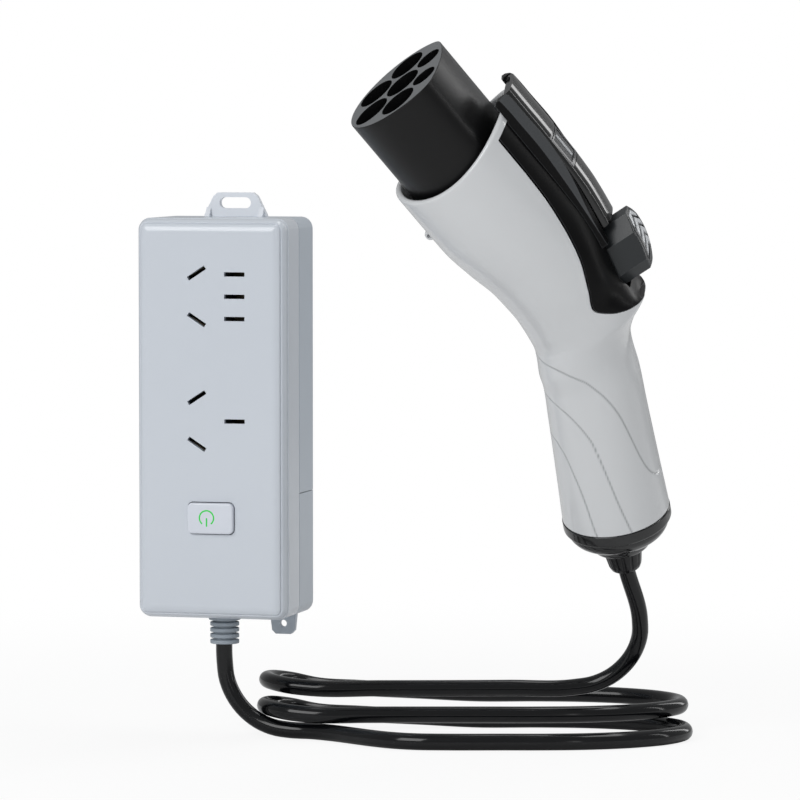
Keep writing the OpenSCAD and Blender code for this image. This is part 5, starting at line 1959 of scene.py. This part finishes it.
@dataclass
class Cable:
    """The cable, from inside the box through its turns on the floor to inside the gun."""

    form: GunForm
    at: GunFrame
    diameter: float = 7.0
    exit: tuple[float, float, float] = (0.0, -18.0, -185.8)
    lay_turn: float = 15.0
    floor: float = -225.5
    run_away: float = -63.0
    turn_shift: float = 31.0
    turn_rise: float = 7.4
    loop_across: float = 129.6
    loop_reach: float = 60.0
    loop_half: float = 36.5
    left_across: float = 33.2
    left_radius: float = 21.0
    left_rise: tuple[tuple[float, float], ...] = (
        (90, 0.5), (120, 0.85), (150, 1.1), (180, 1.2), (210, 1.2), (240, 1.1), (270, 1))
    box_lead: tuple[tuple[float, float, float], ...] = (
        (-4.7, -17.4, -160), (-4.7, -17.4, -176), (-4.7, -17.4, -193.5), (-3.8, -17.6, -200.9),
        (-1, -18.3, -207.8), (3.4, -19.4, -213.7), (9.1, -20.8, -218.2), (15.8, -22.5, -221),
        (23, -24.3, -222), (32, -27.9, -222), (41.6, -34.8, -222), (50, -43.2, -222), (58.1, -51.3, -222),
        (66, -57.5, -222), (76, -61.8, -222))
    gun_lead: tuple[tuple[float, float, float], ...] = (
        (60, -0.9, -207.2), (88, -0.6, -207.2), (116, -0.2, -207.1), (143.9, 0.2, -206.8),
        (151.8, 0.1, -205.5), (159.1, -1, -202.2), (165.1, -3.1, -197), (169.3, -5.8, -190.6),
        (171.4, -8.8, -183.4), (171.2, -12.1, -176))
    gland_end: float = 92.8
    lead_in: float = 56.6

    front_start: tuple[float, float] = (88.0, 56.0)
    front_step: float = 24.0
    back_step: float = 26.0
    back_climb: float = 0.17
    pitch: float = 2.2
    sides: int = 28

    def turn_points(self, turn: int) -> list[Point]:
        """One turn: the front run, the loop on the right, the back run and the loop on the left.

        Args:
            turn: 0 for the lower turn and 1 for the upper.

        Returns:
            The turn's points, before the lay is turned.
        """
        away = self.run_away + turn * self.turn_shift
        z = self.floor + self.diameter / 2 + turn * self.turn_rise
        back = away + 2 * self.loop_half
        front = np.arange(self.front_start[turn], self.loop_across - 9, self.front_step)
        points = [(x, away, z) for x in front]
        for a in np.radians(np.arange(-90, 91, 20)):
            points.append((self.loop_across + self.loop_reach * math.cos(a),
                           away + self.loop_half * (1 + math.sin(a)), z))
        climb = self.turn_rise * self.back_climb
        points += [(self.loop_across - self.back_step * (i + 1), back, z + climb * i) for i in range(3)]
        for angle, rise in self.left_rise:
            a = math.radians(angle)
            y = back - self.left_radius + self.left_radius * math.sin(a)
            points.append((self.left_across + self.left_radius * math.cos(a), y, z + self.turn_rise * rise))
        return points

    def route(self) -> Array:
        """The route's points in the row frame.

        Returns:
            One row for each.
        """
        laid = [*self.box_lead, *self.turn_points(0), *self.turn_points(1), *self.gun_lead]
        cos, sin = math.cos(math.radians(self.lay_turn)), math.sin(math.radians(self.lay_turn))
        rows = np.array(laid, float) @ np.array([[cos, sin, 0], [-sin, cos, 0], [0, 0, 1]])
        ends = [self.form.down_handle(reach) for reach in (self.gland_end, self.lead_in)]
        return np.vstack([rows, self.at.place(ends)])

    def line(self) -> Array:
        """The route as a smooth dense line.

        Returns:
            One row for each of its points.
        """
        points = self.route()
        knots = travelled(points)
        return blended(knots, points, np.gradient(points, knots, axis=0), spread(0, knots[-1], self.pitch))

    def build(self) -> None:
        """Builds the cable as a tube along its line."""
        line = self.line()
        heading = np.gradient(line, axis=0)
        heading /= np.linalg.norm(heading, axis=1, keepdims=True)
        across = np.cross(heading[0], [0.2, -0.9, 0.35])
        rings = []
        cos, sin = np.cos(turn_round(self.sides))[:, None], np.sin(turn_round(self.sides))[:, None]
        for here, ahead in zip(line, heading):
            across = across - ahead * (across @ ahead)
            across /= np.linalg.norm(across)
            rings.append(here + self.diameter / 2 * (cos * across + sin * np.cross(ahead, across)))
        skin = Skin()
        skin.loft(np.array(rings))
        tube = skin.piece("cable_sheath", [CABLE_BLACK], 60)
        fit(tube, "cable", ROOT)


# Studio


@dataclass
class Studio:
    """Floor, light and camera."""

    floor: float = -225.5
    target: tuple[float, float, float] = (74.9, -11.0, -82.1)
    distance: float = 2000.0
    azimuth: float = 15.0
    elevation: float = 3.5
    lens: float = 214.65
    middle: tuple[float, float] = (90.0, 0.0)
    rings: tuple[float, ...] = (0.5, 250.0, 500.0, 1000.0, 2000.0, 4000.0, 8000.0)
    fade: tuple[float, float] = (0.16, 0.6)

    def camera(self) -> None:
        """Puts the camera at the photograph's angle."""
        a, e = math.radians(self.azimuth), math.radians(self.elevation)
        away = Vector((math.sin(a) * math.cos(e), -math.cos(a) * math.cos(e), math.sin(e)))
        data = bpy.data.cameras.new("camera")
        data.lens = self.lens
        data.sensor_width = 36
        data.clip_start = 0.05
        data.clip_end = 60
        eye = shown("camera", data)
        eye.location = (Vector(self.target) + away * self.distance) * MM
        eye.rotation_mode = "QUATERNION"
        eye.rotation_quaternion = (-away).to_track_quat("-Z", "Y")
        bpy.context.scene.camera = eye

    def lay_floor(self) -> None:
        """Lays a round pale floor that fades into the backdrop."""
        skin = Skin()
        skin.loft(revolved([(reach, self.floor) for reach in self.rings], 96) + np.array([*self.middle, 0]),
                  flip=True, caps="none")
        skin.cover([list(range(96))])
        mesh = bpy.data.meshes.new("floor")
        mesh.from_pydata((skin.points[0] * MM).tolist(), [], skin.faces)
        mesh.materials.append(self.floor_material())
        shown("floor", mesh)

    def floor_material(self) -> bpy.types.Material:
        """White floor that keeps a soft shadow near the object and is plain white further off.

        Returns:
            The floor's material.
        """
        made = bpy.data.materials.new("floor_white")
        wire = self.bare_wiring(made)
        place = wire.node("ShaderNodeTexCoord").outputs["Object"]
        middle = tuple(x * MM for x in (*self.middle, self.floor))
        away = wire.node("ShaderNodeVectorMath", {"0": place, "1": middle}, operation="DISTANCE")
        near, far = self.fade
        fade = wire.node("ShaderNodeMapRange", {
            "0": away.outputs["Value"], "1": near, "2": far, "3": 0.0, "4": 1.0},
            interpolation_type="SMOOTHSTEP").outputs[0]
        speck = wire.node("ShaderNodeTexNoise", {"Vector": place, "Scale": 30.0}).outputs["Fac"]
        rough = wire.maths("MULTIPLY_ADD", speck, 0.1, 0.75)
        matt = wire.node("ShaderNodeBsdfPrincipled", {
            "Base Color": (0.93, 0.93, 0.93, 1), "Roughness": rough, "Specular IOR Level": 0.1})
        white = wire.node("ShaderNodeEmission", {"Color": (1, 1, 1, 1), "Strength": 1.0})
        seen = wire.node("ShaderNodeLightPath").outputs["Is Camera Ray"]
        share = wire.maths("MULTIPLY", seen, wire.maths("MULTIPLY_ADD", fade, 0.12, 0.88))
        mixed = wire.node("ShaderNodeMixShader", {"0": share, "1": matt.outputs[0], "2": white.outputs[0]})
        wire.node("ShaderNodeOutputMaterial", {"Surface": mixed.outputs[0]})
        return made

    def bare_wiring(self, owner: bpy.types.Material | bpy.types.World) -> Wiring:
        """Takes the first nodes out of a material or world.

        Args:
            owner: the material or world.

        Returns:
            The wiring of its tree.
        """
        owner.use_nodes = True
        owner.node_tree.nodes.clear()
        return Wiring(owner.node_tree)

    def world(self) -> None:
        """Sets a white backdrop for the camera and a plain grey-white room for light and gloss."""
        room = bpy.data.worlds.new("room")
        bpy.context.scene.world = room
        wire = self.bare_wiring(room)
        path = wire.node("ShaderNodeLightPath")
        light = wire.node("ShaderNodeBackground", {"Color": (0.97, 0.985, 1.0, 1), "Strength": 0.29})
        backdrop = wire.node("ShaderNodeBackground", {"Color": (1, 1, 1, 1), "Strength": 1.0})
        shiny = wire.maths("MAXIMUM", path.outputs["Is Glossy Ray"], path.outputs["Is Transmission Ray"])
        plain = wire.maths("MAXIMUM", path.outputs["Is Camera Ray"], wire.maths("MULTIPLY", shiny, 0.15))
        mixed = wire.node("ShaderNodeMixShader", {
            "0": plain, "1": light.outputs[0], "2": backdrop.outputs[0]})
        wire.node("ShaderNodeOutputWorld", {"Surface": mixed.outputs[0]})

    def lamp(self, name: str, place: Point, size: tuple[float, float], power: float) -> None:
        """Adds a soft lamp that looks at the object.

        Args:
            name: the lamp's name.
            place: where it stands, in metres.
            size: its width and height, in metres.
            power: its power, in watts.
        """
        data = bpy.data.lights.new(name, "AREA")
        data.shape = "RECTANGLE"
        data.size, data.size_y = size
        data.energy = power
        thing = shown(name, data)
        thing.location = place
        aim = Vector(self.target) * MM - Vector(place)
        thing.rotation_euler = aim.to_track_quat("-Z", "Y").to_euler()

    def build(self) -> None:
        """Builds the studio round the object."""
        bpy.context.scene.view_settings.view_transform = "Standard"
        self.lay_floor()
        self.world()
        self.lamp("front_softbox", (-0.5, -1.7, 0.9), (1.2, 1.2), 22.0)
        self.lamp("top_softbox", (0.5, 0.3, 1.5), (1.4, 0.5), 8.0)
        self.lamp("side_strip", (1.6, 0.25, 0.45), (0.1, 1.2), 1.9)
        self.lamp("back_strip", (0.95, 1.25, 0.6), (0.24, 1.2), 3.4)
        self.lamp("low_strip", (1.0, -1.5, -0.1), (0.12, 0.9), 0.6)


def main() -> None:
    """Builds the adapter and its studio."""
    logging.basicConfig(level=logging.INFO, format="%(name)s: %(message)s")
    moulding_group()
    edge_group()
    repeat_tree()
    coil_tree()
    studio = Studio()
    studio.camera()
    gun, form = GunFrame(), GunForm()
    Cable(form, gun).build()
    SocketBox().build()
    shell = GunShell(form, gun)
    for side in Side:
        shell.build(side)
    Nose(gun).build()
    Latch(form, gun).build()
    HandleEnd(form, gun).build()
    studio.build()


if __name__ == "__main__":
    main()
